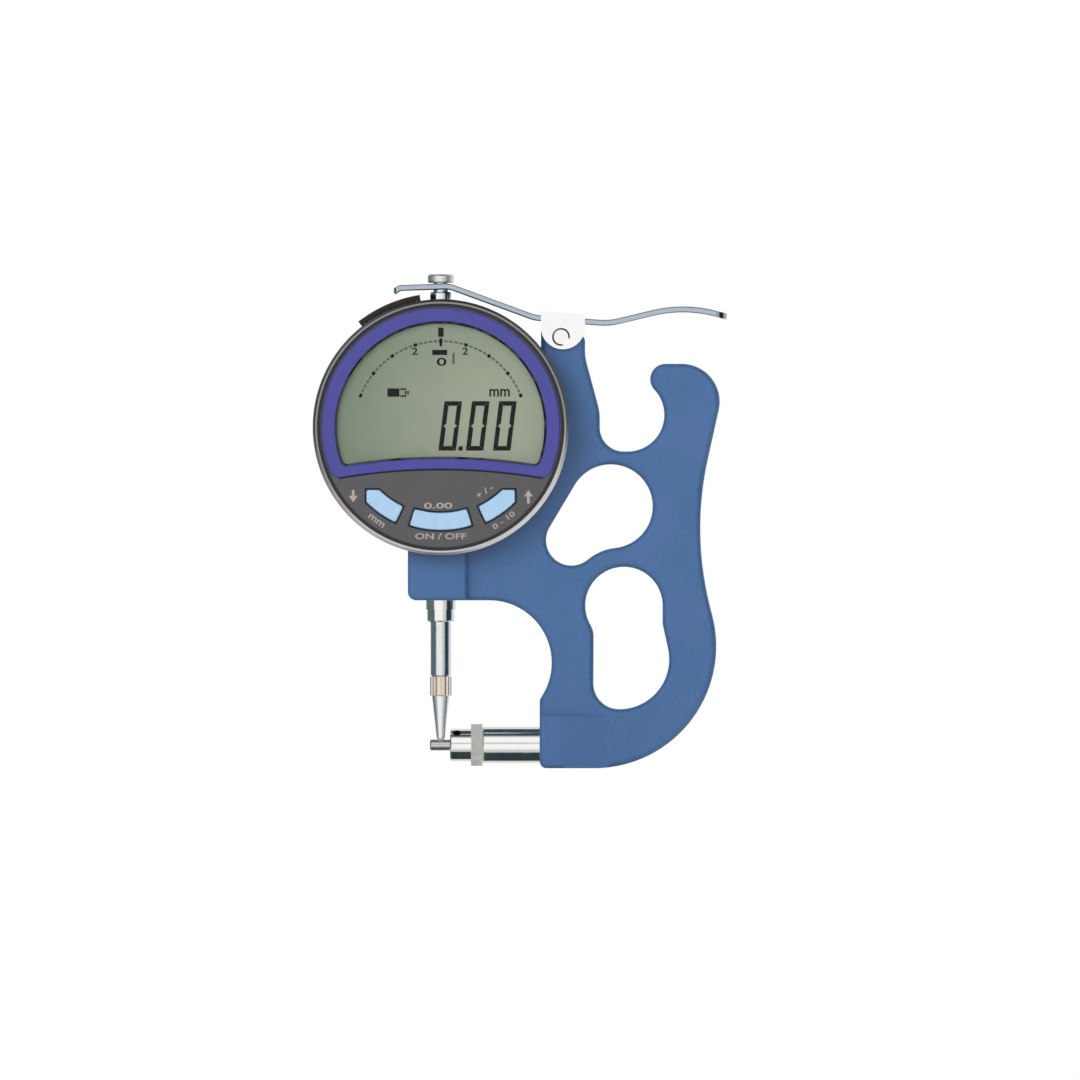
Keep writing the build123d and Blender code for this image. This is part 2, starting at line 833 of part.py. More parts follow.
# Case with its inner seats, and the covers that close it
with BuildPart() as case_body:
    with BuildSketch(dial_plane(case_back)):
        Circle(case_radius)
        Circle(case_inner, mode=Mode.SUBTRACT)
    extrude(amount=case_back + case_front)
    with BuildSketch(dial_plane(-board_back + ledge_height)):
        Circle(case_inner + fit_gap)
        Circle(case_inner - ledge_width, mode=Mode.SUBTRACT)
    extrude(amount=ledge_height)
    with BuildSketch(dial_plane(seat_half_depth)):
        low_seat = stem_top_z - dial_z
        high_seat = upper_bush_bottom - dial_z
        seat_right = guide_x + guide_width
        Circle(case_inner + fit_gap)
        with Locations(((seat_right - seat_half_width) / 2, (low_seat + high_seat) / 2)):
            Rectangle(2 * case_radius, high_seat - low_seat, mode=Mode.SUBTRACT)
        with Locations(((seat_right - seat_half_width) / 2, 0)):
            Rectangle(seat_right + seat_half_width, 2 * case_radius, mode=Mode.INTERSECT)
    extrude(amount=2 * seat_half_depth)
    with BuildSketch(dial_plane(port_half_depth)):
        Circle(port_radius)
        Circle(case_inner + case_wall / 2, mode=Mode.SUBTRACT)
        with BuildLine():
            Polyline(
                (0, 0),
                (-bezel_radius * 2 * sin(radians(port_start)), bezel_radius * 2 * cos(radians(port_start))),
                (-bezel_radius * 2 * sin(radians(port_end)), bezel_radius * 2 * cos(radians(port_end))),
                close=True,
            )
        make_face(mode=Mode.INTERSECT)
    extrude(amount=2 * port_half_depth)
    with BuildSketch(dial_plane(case_back)):
        with PolarLocations(cover_screw_radius, 4, start_angle=45):
            Circle(cover_post_radius)
        Circle(case_inner + fit_gap, mode=Mode.INTERSECT)
    extrude(amount=cover_screw_length)
    with Locations(Plane.XY.offset(frame_top_of_throat)):
        Cylinder(
            stem_diameter / 2,
            stem_top_z - frame_top_of_throat,
            align=(Align.CENTER, Align.CENTER, Align.MIN),
            mode=Mode.SUBTRACT,
        )
    with Locations(Plane.XY.offset(upper_bush_bottom)):
        Cylinder(
            upper_bush_diameter / 2,
            upper_bush_top - upper_bush_bottom,
            align=(Align.CENTER, Align.CENTER, Align.MIN),
            mode=Mode.SUBTRACT,
        )
    with Locations(dial_plane(case_back)):
        with PolarLocations(cover_screw_radius, 4, start_angle=45):
            Cylinder(
                cover_screw_thread / 2,
                cover_screw_length,
                align=(Align.CENTER, Align.CENTER, Align.MIN),
                mode=Mode.SUBTRACT,
            )
    port_middle = radians((port_start + port_end) / 2)
    port_out = Vector(-sin(port_middle), 0, cos(port_middle))
    port_plane = Plane(
        origin=Vector(0, 0, dial_z) + port_out * (case_inner + port_floor),
        x_dir=(cos(port_middle), 0, sin(port_middle)),
        z_dir=port_out,
    )
    with BuildSketch(port_plane):
        Rectangle(plug_length, plug_depth)
    extrude(amount=port_radius, mode=Mode.SUBTRACT)

with BuildPart() as data_socket:
    socket_height = port_radius - plug_reach - case_inner - port_floor
    with BuildSketch(port_plane):
        Rectangle(plug_length, plug_depth)
    extrude(amount=socket_height)
    with BuildSketch(port_plane.offset(socket_height)):
        with GridLocations(plug_length / 6, plug_depth / 2, 5, 2):
            Rectangle(plug_length / 14, plug_depth / 6)
    extrude(amount=-socket_height / 2, mode=Mode.SUBTRACT)

with BuildPart() as port_cover:
    cover_radius = port_radius + port_cover_thickness
    with BuildSketch(dial_plane(port_half_depth + port_cover_lap)):
        Circle(cover_radius)
        Circle(port_radius, mode=Mode.SUBTRACT)
        with BuildLine():
            Polyline(
                (0, 0),
                (-bezel_radius * 2 * sin(radians(port_start)), bezel_radius * 2 * cos(radians(port_start))),
                (-bezel_radius * 2 * sin(radians(port_end)), bezel_radius * 2 * cos(radians(port_end))),
                close=True,
            )
        make_face(mode=Mode.INTERSECT)
    extrude(amount=2 * (port_half_depth + port_cover_lap))
    long_edges = port_cover.edges().filter_by(GeomType.CIRCLE).sort_by(Edge.length)[-2:]
    fillet(long_edges, port_cover_round)
    with BuildSketch(port_plane.offset(socket_height + fit_gap)):
        Rectangle(plug_length - 2 * fit_gap, plug_depth - 2 * fit_gap)
    extrude(amount=plug_reach - fit_gap + port_cover_thickness / 2)

with BuildPart() as back_cover:
    with BuildSketch(dial_plane(cover_outside)):
        Circle(case_radius)
    extrude(amount=cover_thickness)
    fillet(back_cover.faces().sort_by(Axis.Y)[-1].edges(), cover_edge_round)
    with BuildSketch(dial_plane(case_back)):
        with Locations((0, battery_offset_z)):
            Circle(cup_inner + cup_wall)
    extrude(amount=case_back - cup_front)
    with BuildSketch(dial_plane(cover_outside)):
        with Locations((0, battery_offset_z)):
            Circle(cup_inner)
    extrude(amount=cover_outside - cup_front - cup_floor, mode=Mode.SUBTRACT)
    with BuildSketch(dial_plane(cover_outside)):
        with Locations((0, battery_offset_z)):
            Circle(cup_inner + lid_lip)
    extrude(amount=lid_lip_thickness, mode=Mode.SUBTRACT)
    with Locations(Plane(origin=(0, cover_outside, dial_z), x_dir=(-1, 0, 0), z_dir=(0, 1, 0))):
        with PolarLocations(cover_screw_radius, 4, start_angle=45):
            CounterSinkHole(cover_screw_thread / 2, cover_screw_head / 2, cover_thickness, 90)


def countersunk_screw(thread, head, length):
    """Flat-headed screw with its head's face at the origin, its shank along -Z and a cross recess."""
    head_depth = (head - thread) / 2
    with BuildPart() as screw:
        with BuildSketch(Plane.XZ):
            half_profile([
                (0, 0),
                (head / 2, 0),
                (thread / 2, -head_depth),
                (thread / 2, -length),
                (0, -length),
            ])
        revolve(axis=Axis.Z)
        with BuildSketch(Plane.XY):
            Rectangle(cross_length, cross_width)
            Rectangle(cross_width, cross_length)
        extrude(amount=-cross_depth, mode=Mode.SUBTRACT)
    return screw.part


cover_screw_solid = countersunk_screw(cover_screw_thread, cover_screw_head, cover_screw_length)
with BuildPart() as back_cover_screws:
    with Locations(Plane(origin=(0, cover_outside, dial_z), x_dir=(-1, 0, 0), z_dir=(0, 1, 0))):
        with PolarLocations(cover_screw_radius, 4, start_angle=45):
            add(cover_screw_solid)

with BuildPart() as battery_lid:
    with BuildSketch(dial_plane(cover_outside)):
        with Locations((0, battery_offset_z)):
            Circle(cup_inner + lid_lip - fit_gap)
    extrude(amount=lid_lip_thickness - fit_gap)
    chamfer(battery_lid.faces().sort_by(Axis.Y)[-1].edges(), bar_chamfer)
    with BuildSketch(dial_plane(cover_outside)):
        with Locations((0, battery_offset_z)):
            SlotOverall(coin_slot_length, coin_slot_width)
    extrude(amount=coin_slot_depth, mode=Mode.SUBTRACT)

with BuildPart() as battery:
    with BuildSketch(dial_plane(battery_back)):
        with Locations((0, battery_offset_z)):
            Circle(battery_diameter / 2)
    extrude(amount=battery_thickness)
    chamfer(battery.edges(), bar_chamfer)

with BuildPart() as battery_contact:
    with BuildSketch(dial_plane(battery_front)):
        with Locations((0, battery_offset_z)):
            Circle(contact_ring / 2)
            with PolarLocations(contact_ring / 2, 3, start_angle=90):
                Rectangle(contact_arm_length, contact_arm_width)
            Circle(contact_hole / 2, mode=Mode.SUBTRACT)
    extrude(amount=contact_leaf)

# Electronics behind the dial
with BuildPart() as circuit_board:
    with BuildSketch(dial_plane(-board_back)):
        Circle(board_radius)
    extrude(amount=board_thickness)

with BuildPart() as reading_head:
    with BuildSketch(front_plane(-head_back)):
        with Locations((0, head_centre_z)):
            Rectangle(head_width, head_height)
    extrude(amount=board_back - head_back)

with BuildPart() as lcd_panel:
    with BuildSketch(dial_plane(-lcd_back)):
        draw_window(lcd_radius, lcd_floor)
    extrude(amount=lcd_thickness)


def draw_key_mat(grow):
    """Outline of the rubber key mat, grown by a clearance."""
    mat_line = key_side_top - mat_margin - grow
    Circle(mat_outer_radius + grow)
    Circle(key_centre_inner - mat_margin - grow, mode=Mode.SUBTRACT)
    with Locations((0, -mat_line - mat_outer_radius)):
        Rectangle(3 * mat_outer_radius, 2 * mat_outer_radius, mode=Mode.INTERSECT)


with BuildPart() as display_tray:
    with BuildSketch(dial_plane(-board_front)):
        Circle(board_radius)
    extrude(amount=lcd_front - board_front)
    with BuildSketch(dial_plane(-lcd_back)):
        draw_window(lcd_radius + fit_gap, lcd_floor - fit_gap)
    extrude(amount=lcd_thickness, mode=Mode.SUBTRACT)
    with BuildSketch(dial_plane(-board_front)):
        draw_key_mat(fit_gap)
    extrude(amount=mat_thickness + fit_gap, mode=Mode.SUBTRACT)
    for key_name in ("left", "centre", "right"):
        with BuildSketch(dial_plane(-board_front)):
            draw_key(key_name, key_flange + key_pocket_gap)
        extrude(amount=lcd_front - board_front, mode=Mode.SUBTRACT)

with BuildPart() as key_mat:
    with BuildSketch(dial_plane(-board_front)):
        draw_key_mat(0)
    extrude(amount=mat_thickness)
    with BuildSketch(dial_plane(-board_front - mat_thickness)):
        with Locations((0, -(key_centre_inner + key_centre_outer) / 2)):
            Circle(dome_radius)
        side_dome = (key_inner_radius + key_outer_radius) / 2
        for side in (-1, 1):
            dome_x = side * side_dome * sin(radians(dome_angle))
            with Locations((dome_x, -side_dome * cos(radians(dome_angle)))):
                Circle(dome_radius)
    extrude(amount=mat_top - board_front - mat_thickness, taper=dome_taper)


def make_key(name):
    """One push key: a crowned cap that stands through the panel, and a flange that holds it in."""
    with BuildPart() as key:
        with BuildSketch(dial_plane(-key_back)):
            draw_key(name, 0)
        extrude(amount=panel_front + key_stand - key_back)
        fillet(key.faces().sort_by(Axis.Y)[0].edges(), key_crown)
        with BuildSketch(dial_plane(-key_back)):
            draw_key(name, key_flange)
        extrude(amount=key_flange_thickness)
    return key


left_key = make_key("left")
centre_key = make_key("centre")
right_key = make_key("right")

# Face of the dial
with BuildPart() as face_panel:
    with BuildSketch(dial_plane(-panel_back)):
        Circle(panel_radius)
        with BuildSketch(mode=Mode.PRIVATE) as opening:
            draw_window(window_radius, window_floor)
            fillet(vertices(), window_corner)
        add(opening.sketch, mode=Mode.SUBTRACT)
    extrude(amount=panel_thickness)
    with BuildSketch(dial_plane(-panel_front + lens_thickness)):
        draw_window(window_radius + lens_ledge, window_floor - lens_ledge)
        fillet(vertices(), window_corner + lens_ledge)
    extrude(amount=lens_thickness, mode=Mode.SUBTRACT)
    for key_name in ("left", "centre", "right"):
        with BuildSketch(dial_plane(-panel_back)):
            draw_key(key_name, key_gap)
        extrude(amount=panel_thickness, mode=Mode.SUBTRACT)

with BuildPart() as window_lens:
    with BuildSketch(dial_plane(-panel_front + lens_thickness)):
        draw_window(window_radius + lens_ledge - fit_gap, window_floor - lens_ledge + fit_gap)
        fillet(vertices(), window_corner + lens_ledge)
    extrude(amount=lens_thickness)

with BuildPart() as window_surround:
    with BuildSketch(dial_plane(-panel_front)):
        draw_window(surround_radius, surround_floor)
        fillet(vertices(), 2 * window_corner)
        with BuildSketch(mode=Mode.PRIVATE) as inner_edge:
            draw_window(window_radius + surround_lap, window_floor - surround_lap)
            fillet(vertices(), window_corner + surround_lap)
        add(inner_edge.sketch, mode=Mode.SUBTRACT)
    extrude(amount=surround_height)
    chamfer(window_surround.faces().sort_by(Axis.Y)[0].edges(), surround_height / 3)

with BuildPart() as bezel_ring:
    seat_radius = panel_radius + fit_gap
    with BuildSketch(Plane.YZ):
        with BuildLine():
            Polyline(
                (-bezel_back, dial_z + case_radius + fit_gap),
                (-bezel_back, dial_z + bezel_radius - bezel_bevel / 2),
                (-bezel_back - bezel_bevel / 2, dial_z + bezel_radius),
                (-bezel_front + bezel_bevel, dial_z + bezel_radius),
                (-bezel_front, dial_z + bezel_radius - bezel_bevel),
                (-bezel_front, dial_z + seat_radius),
                (-panel_back, dial_z + seat_radius),
                (-panel_back, dial_z + case_radius + fit_gap),
                close=True,
            )
        make_face()
    revolve(axis=Axis((0, 0, dial_z), (0, 1, 0)))

# Lifting lever: forked strip, saddle, pin and clip
with BuildPart() as lever_strip:
    with BuildLine(Plane.XZ) as strip_line:
        FilletPolyline(*strip_path, radius=strip_bends)
    strip_wire = strip_line.line
    with BuildSketch(Plane(origin=strip_wire @ 0, x_dir=(0, 1, 0), z_dir=strip_wire % 0)):
        RectangleRounded(strip_width, strip_thickness, strip_round)
    sweep(path=strip_wire)
    strip_left = strip_path[0][0]
    strip_right = strip_path[-1][0]
    with BuildSketch(Plane.XY.offset(pivot_z)):
        with Locations(((strip_left + strip_right) / 2, 0)):
            Rectangle(strip_right - strip_left, strip_width)
        fillet(vertices().group_by(Axis.X)[-1], strip_corner)
        fillet(vertices().group_by(Axis.X)[0], fork_corner)
        with Locations((fork_end - fork_slot / 2, 0)):
            Circle(fork_slot / 2, mode=Mode.SUBTRACT)
        with Locations((fork_end - fork_slot / 2, 0)):
            Rectangle(
                2 * strip_width,
                fork_slot,
                align=(Align.MAX, Align.CENTER),
                mode=Mode.SUBTRACT,
            )
    extrude(amount=4 * strip_width, mode=Mode.INTERSECT)


def strip_top(x, lift):
    """Height of the strip's top face at the saddle, raised square to the strip by lift."""
    run_x, run_z = strip_path[3]
    return run_z + (x - run_x) * tan(saddle_slope) + (strip_thickness / 2 + lift) / cos(saddle_slope)


with BuildPart() as lever_saddle:
    saddle_radius = (saddle_right - saddle_left) / 2
    with BuildSketch(front_plane(0)):
        with BuildLine():
            belt([
                (saddle_left + saddle_radius, saddle_end_z, saddle_radius),
                (saddle_right, strip_top(saddle_right, saddle_sheet), 0),
                (saddle_left, strip_top(saddle_left, saddle_sheet), 0),
            ])
        make_face()
    extrude(amount=strip_width / 2 + saddle_sheet, both=True)
    fillet(lever_saddle.edges().filter_by(GeomType.LINE).group_by(Axis.Z)[-1], saddle_round)
    with BuildSketch(front_plane(0)):
        with BuildLine():
            Polyline(
                (saddle_left - saddle_sheet, strip_top(saddle_left - saddle_sheet, 0)),
                (saddle_right + saddle_sheet, strip_top(saddle_right + saddle_sheet, 0)),
                (saddle_right + saddle_sheet, saddle_end_z - 2 * saddle_radius),
                (saddle_left - saddle_sheet, saddle_end_z - 2 * saddle_radius),
                close=True,
            )
        make_face()
    extrude(amount=strip_width / 2, both=True, mode=Mode.SUBTRACT)
    with Locations(Plane(origin=(pivot_x, 0, pivot_z), z_dir=(0, 1, 0))):
        Cylinder(lever_pin_diameter / 2, 2 * strip_width, mode=Mode.SUBTRACT)

ear_face = strip_width / 2 + saddle_sheet
with BuildPart() as lever_pin:
    with Locations(Plane(origin=(pivot_x, -ear_face, pivot_z), z_dir=(0, 1, 0))):
        Cylinder(
            lever_pin_diameter / 2,
            2 * ear_face + clip_thickness + clip_overhang,
            align=(Align.CENTER, Align.CENTER, Align.MIN),
        )
        Cylinder(
            lever_pin_head / 2,
            lever_pin_head_height,
            align=(Align.CENTER, Align.CENTER, Align.MAX),
        )
    chamfer(lever_pin.edges().sort_by(Axis.Y)[0], lever_pin_bevel)
    with Locations(Plane(origin=(pivot_x, -ear_face - lever_pin_head_height, pivot_z), z_dir=(0, 1, 0))):
        Cylinder(
            pin_recess_radius,
            lever_pin_head_height / 2,
            align=(Align.CENTER, Align.CENTER, Align.MIN),
            mode=Mode.SUBTRACT,
        )

clip_origin = (pivot_x, ear_face + clip_thickness, pivot_z)
with BuildPart() as lever_pin_clip:
    with BuildSketch(Plane(origin=clip_origin, x_dir=(1, 0, 0), z_dir=(0, -1, 0))):
        Circle(clip_diameter / 2)
        Circle(lever_pin_diameter / 2, mode=Mode.SUBTRACT)
        with Locations((0, -clip_diameter / 2)):
            Rectangle(clip_mouth, clip_diameter, mode=Mode.SUBTRACT)
    extrude(amount=clip_thickness)

pieces = {
    "frame_casting": frame_casting,
    "stem_set_screw": stem_set_screw,
    "anvil_clamp_screw": anvil_clamp_screw,
    "anvil_shank": anvil_shank,
    "anvil_holder": anvil_holder,
    "anvil_lock_nut": anvil_lock_nut,
    "anvil_pin": anvil_pin,
    "anvil_pin_screw": anvil_pin_screw,
    "case_body": case_body,
    "bezel_ring": bezel_ring,
    "face_panel": face_panel,
    "window_surround": window_surround,
    "window_lens": window_lens,
    "lcd_panel": lcd_panel,
    "display_tray": display_tray,
    "key_mat": key_mat,
    "circuit_board": circuit_board,
    "reading_head": reading_head,
    "data_socket": data_socket,
    "port_cover": port_cover,
    "back_cover": back_cover,
    "back_cover_screws": back_cover_screws,
    "battery": battery,
    "battery_contact": battery_contact,
    "battery_lid": battery_lid,
    "stem": stem,
    "lower_bush": lower_bush,
    "upper_bush": upper_bush,
    "guide_rail": guide_rail,
    "return_spring": return_spring,
    "spindle": spindle,
    "lifting_cap": lifting_cap,
    "contact_point": contact_point,
    "encoder_carrier": encoder_carrier,
    "encoder_scale": encoder_scale,
    "guide_pin": guide_pin,
    "left_key": left_key,
    "centre_key": centre_key,
    "right_key": right_key,
    "lever_strip": lever_strip,
    "lever_saddle": lever_saddle,
    "lever_pin": lever_pin,
    "lever_pin_clip": lever_pin_clip,
}

os.makedirs("parts", exist_ok=True)
for name, piece in pieces.items():
    piece.part.label = name
    export_step(piece.part, f"parts/{name}.step")
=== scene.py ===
# %% [markdown]
# # A digital pipe thickness gauge
#
# The real gauge measures the wall of a pipe. The wall goes between the small pin on the lower jaw
# and the pointed spindle above it, and a round digital dial shows the thickness. The construction
# model holds every rigid part at its true size, so this lesson loads it, gives each part the finish
# that it has on the real gauge, and adds what is too fine for a construction model: the marks on
# the display, and the legends and lines on the panel.

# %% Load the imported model
import math

import bmesh
import bpy
from mathutils import Matrix, Vector


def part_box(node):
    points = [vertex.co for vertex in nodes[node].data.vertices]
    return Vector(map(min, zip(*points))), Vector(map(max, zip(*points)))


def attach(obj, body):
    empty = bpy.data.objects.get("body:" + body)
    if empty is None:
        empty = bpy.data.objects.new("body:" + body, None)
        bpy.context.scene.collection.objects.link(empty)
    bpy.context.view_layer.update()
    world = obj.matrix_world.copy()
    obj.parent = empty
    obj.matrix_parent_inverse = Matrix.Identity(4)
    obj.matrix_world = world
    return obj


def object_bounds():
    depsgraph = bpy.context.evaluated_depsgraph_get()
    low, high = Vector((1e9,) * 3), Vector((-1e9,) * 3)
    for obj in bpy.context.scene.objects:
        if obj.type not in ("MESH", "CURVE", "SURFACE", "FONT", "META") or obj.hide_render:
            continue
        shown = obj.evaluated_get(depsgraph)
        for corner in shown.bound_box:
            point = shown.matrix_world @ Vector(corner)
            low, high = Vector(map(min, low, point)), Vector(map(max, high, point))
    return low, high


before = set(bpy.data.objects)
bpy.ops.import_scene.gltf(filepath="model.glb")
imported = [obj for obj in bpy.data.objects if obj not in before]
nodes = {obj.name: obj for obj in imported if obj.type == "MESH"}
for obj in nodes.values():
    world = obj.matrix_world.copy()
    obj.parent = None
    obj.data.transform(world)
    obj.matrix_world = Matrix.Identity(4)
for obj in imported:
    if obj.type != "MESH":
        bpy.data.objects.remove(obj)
cad_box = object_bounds()
print("parts loaded:", len(nodes))

# %% [markdown]
# ## Two ways to say where something is
#
# Blender works in metres, and a gauge like this is drawn in millimetres, so `mm` turns one into the
# other. The photograph looks straight at the dial and shows 0.234 mm in each of its pixels, so a
# mark on the dial can also be placed by the pixel where the photograph has it. The measuring point
# is at pixel 440.7, 745, and it is the origin of the model too. The axes of round parts are read
# from the model, as the middles of their boxes.

# %% Millimetres, photograph pixels and the middle of a part
PIXEL = 0.234375
PHOTO_SIZE = 1080
ORIGIN_COLUMN, ORIGIN_ROW = 440.7, 745


def mm(value):
    return value / 1000


def photo_x(column):
    return (column - ORIGIN_COLUMN) * PIXEL


def photo_z(row):
    return (ORIGIN_ROW - row) * PIXEL


def middle_of(part):
    low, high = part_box(part)[:2]
    return [round((a + b) / 2 * 1000, 3) for a, b in zip(low, high)]


DIAL_Z = middle_of("bezel_ring")[2]
pivot_x, _, pivot_z = middle_of("lever_pin")
print("dial centre at", DIAL_Z, "mm, lever pivot at", pivot_x, pivot_z)

# %% [markdown]
# ## A finish is a small graph of nodes
#
# A finish starts as one Principled shader. Its plain numbers, such as how metallic or how glossy it
# is, go straight on the shader. What varies over the surface comes from a pattern: noise in the
# colour, a little difference in the gloss, and a bump that catches the light. The patterns read
# Object coordinates, so they stay on the part when it moves.

# %% Helpers that build a finish
def shader_of(finish):
    return finish.node_tree.nodes["Principled BSDF"]


def new_finish(name, colour, roughness, metallic=0.0, **sockets):
    finish = bpy.data.materials.new(name)
    finish.use_nodes = True
    values = {"Base Color": (*colour, 1.0), "Roughness": roughness, "Metallic": metallic, **sockets}
    for socket, value in values.items():
        shader_of(finish).inputs[socket.replace("_", " ")].default_value = value
    finish.diffuse_color = (*colour, 1.0)
    return finish


def add_node(finish, kind, values=None, **settings):
    node = finish.node_tree.nodes.new(kind)
    for name, setting in settings.items():
        setattr(node, name, setting)
    for socket, value in (values or {}).items():
        node.inputs[socket].default_value = value
    return node


def join(finish, start, end):
    finish.node_tree.links.new(start, end)


# %% [markdown]
# The next helpers place a pattern and read it. `placed` gives the coordinates in millimetres, with
# a centre and a stretch of the pattern's own. `noise` is the soft random pattern that most finishes
# are made of, `cells` is a field of small rounded cells, which is how moulded grain looks, and
# `lines` varies along one number alone. `axes_of` and `length_of` take a place apart, and `ramp`
# and `added` do the small sums.

# %% Helpers for coordinates and patterns
def placed(finish, centre=(0, 0, 0), stretch=(1, 1, 1)):
    scale = [1000 * share for share in stretch]
    location = [-c * s / 1000 for c, s in zip(centre, scale)]
    place = add_node(finish, "ShaderNodeTexCoord")
    mapping = add_node(finish, "ShaderNodeMapping", {"Scale": scale, "Location": location})
    join(finish, place.outputs["Object"], mapping.inputs["Vector"])
    return mapping.outputs["Vector"]


def noise(finish, vector, size, detail=2.0, roughness=0.5):
    values = {"Scale": 1 / size, "Detail": detail, "Roughness": roughness}
    pattern = add_node(finish, "ShaderNodeTexNoise", values)
    join(finish, vector, pattern.inputs["Vector"])
    return pattern.outputs["Fac"]


def cells(finish, vector, size):
    values = {"Scale": 1 / size, "Smoothness": 0.6}
    pattern = add_node(finish, "ShaderNodeTexVoronoi", values, feature="SMOOTH_F1")
    join(finish, vector, pattern.inputs["Vector"])
    return pattern.outputs["Distance"]


def lines(finish, position, size):
    values = {"Scale": 1 / size, "Detail": 3.0}
    pattern = add_node(finish, "ShaderNodeTexNoise", values, noise_dimensions="1D")
    join(finish, position, pattern.inputs["W"])
    return pattern.outputs["Fac"]


def axes_of(finish, vector):
    split = add_node(finish, "ShaderNodeSeparateXYZ")
    join(finish, vector, split.inputs["Vector"])
    return split.outputs


def length_of(finish, vector):
    length = add_node(finish, "ShaderNodeVectorMath", operation="LENGTH")
    join(finish, vector, length.inputs[0])
    return length.outputs["Value"]


def ramp(finish, value, start, end, low=0.0, high=1.0):
    values = {"From Min": start, "From Max": end, "To Min": low, "To Max": high}
    spread = add_node(finish, "ShaderNodeMapRange", values)
    join(finish, value, spread.inputs["Value"])
    return spread.outputs["Result"]


def added(finish, pattern, share, other):
    total = add_node(finish, "ShaderNodeMath", {1: share}, operation="MULTIPLY_ADD")
    join(finish, pattern, total.inputs[0])
    join(finish, other, total.inputs[2])
    return total.outputs["Value"]


# %% [markdown]
# These helpers use a pattern. `tint` runs the colour between a few stops, `vary_gloss` moves the
# roughness between two values, and `emboss` turns the pattern into a bump of a stated height in
# millimetres, so the bump is true to scale. A second bump goes on top of the first. `cloud_over` is
# the recipe that most finishes share: soft clouds that move the colour and the gloss together.

# %% Helpers that use a pattern
def tint(finish, factor, stops):
    band = add_node(finish, "ShaderNodeValToRGB")
    elements = band.color_ramp.elements
    for element, (position, colour) in zip(elements, (stops[0], stops[-1])):
        element.position, element.color = position, (*colour, 1)
    for position, colour in stops[1:-1]:
        elements.new(position).color = (*colour, 1)
    join(finish, factor, band.inputs["Fac"])
    join(finish, band.outputs["Color"], shader_of(finish).inputs["Base Color"])


def shades(colour, *shares):
    return [tuple(min(1.0, channel * share) for channel in colour) for share in shares]


def vary_gloss(finish, factor, low, high):
    join(finish, ramp(finish, factor, 0.3, 0.7, low, high), shader_of(finish).inputs["Roughness"])


def emboss(finish, factor, height, under=None):
    bump = add_node(finish, "ShaderNodeBump", {"Strength": 1.0, "Distance": mm(height)})
    join(finish, factor, bump.inputs["Height"])
    if under:
        join(finish, under.outputs["Normal"], bump.inputs["Normal"])
    join(finish, bump.outputs["Normal"], shader_of(finish).inputs["Normal"])
    return bump


def cloud_over(finish, size, colours, gloss, detail=3.0, edges=(0.3, 0.7)):
    clouds = noise(finish, placed(finish), size, detail)
    tint(finish, clouds, list(zip(edges, colours)))
    vary_gloss(finish, clouds, *gloss)
    return clouds


# %% [markdown]
# ## The frame's blue enamel
#
# The frame is a casting under a thick blue enamel. Such paint isn't flat: it dries with a soft
# orange peel, and close up its blue is mottled, a touch greener in the hollows and more violet on
# the swells. One broad noise and one fine one are added to move the colour, small cells make the
# peel, and a clear coat on the shader gives the gloss that lies over both.

# %% The frame
enamel_blue, hollow_blue, swell_blue = (0.052, 0.137, 0.315), (0.039, 0.120, 0.258), (0.068, 0.146, 0.362)
enamel = new_finish("blue_enamel", enamel_blue, 0.46, Coat_Weight=0.2, Coat_Roughness=0.28)
enamel_place = placed(enamel)
mottle = noise(enamel, enamel_place, size=0.75, detail=3.0, roughness=0.65)
broad_and_fine = added(enamel, noise(enamel, enamel_place, size=9.0), 0.35, mottle)
tint(enamel, broad_and_fine, [(0.42, hollow_blue), (0.67, enamel_blue), (0.92, swell_blue)])
vary_gloss(enamel, mottle, 0.42, 0.52)
peel = emboss(enamel, cells(enamel, enamel_place, size=0.85), height=0.014)
emboss(enamel, mottle, height=0.010, under=peel)
print("enamel nodes:", len(enamel.node_tree.nodes))

# %% [markdown]
# ## Bright plated steel
#
# The stem, bushes and anvil are turned from steel and plated, so they mirror the room. A perfect
# mirror looks drawn, and real plate is faintly hazy where it was handled, so the gloss varies over a
# few millimetres. A turned part also keeps the fine rings of the lathe, which run round its own
# axis. The distance from that axis, added to the place along it, gives the rings on the round faces
# and on the flat ends at once.

# %% A helper for lathe rings
ring_size = 0.25


def lathe_rings(finish, axis, centre=(0, 0, 0)):
    across = [0.0 if letter == axis else 1.0 for letter in "xyz"]
    along = axes_of(finish, placed(finish, centre))[axis.upper()]
    radius = length_of(finish, placed(finish, centre, across))
    return lines(finish, added(finish, along, 1.0, radius), ring_size)


# %% Bright plate for upright parts, for the anvil and for the lever's pin
plate_colour = (0.90, 0.89, 0.88)
plate_edges = (0.35, 0.65)


def bright_plate(name, axis, centre=(0, 0, 0)):
    plate = new_finish(name, plate_colour, 0.12, metallic=1.0)
    colours = shades(plate_colour, 0.95, 1.0)
    cloud_over(plate, 2.5, colours, gloss=(0.08, 0.15), detail=4.0, edges=plate_edges)
    emboss(plate, lathe_rings(plate, axis, centre), height=0.0008)
    return plate


upright_plate = bright_plate("bright_plate_upright", "z")
anvil_plate = bright_plate("bright_plate_anvil", "x")
pivot_plate = bright_plate("bright_plate_pivot", "y", (pivot_x, 0, pivot_z))
print("bright plates:", upright_plate.name, anvil_plate.name, pivot_plate.name)

# %% [markdown]
# The lock nut and the button on the spindle are plated too, but left matt from the tool, because
# fingers and spanners touch them. Their plate is a touch warmer, and it spreads the light instead of
# mirroring the screens.

# %% Satin plate for the nut and the button
satin_colour = (0.96, 0.93, 0.88)


def satin_plate(name, axis):
    plate = new_finish(name, satin_colour, 0.42, metallic=1.0)
    cloud_over(plate, 1.6, shades(satin_colour, 0.93, 1.0), gloss=(0.38, 0.47), edges=plate_edges)
    emboss(plate, lathe_rings(plate, axis), height=0.001)
    return plate


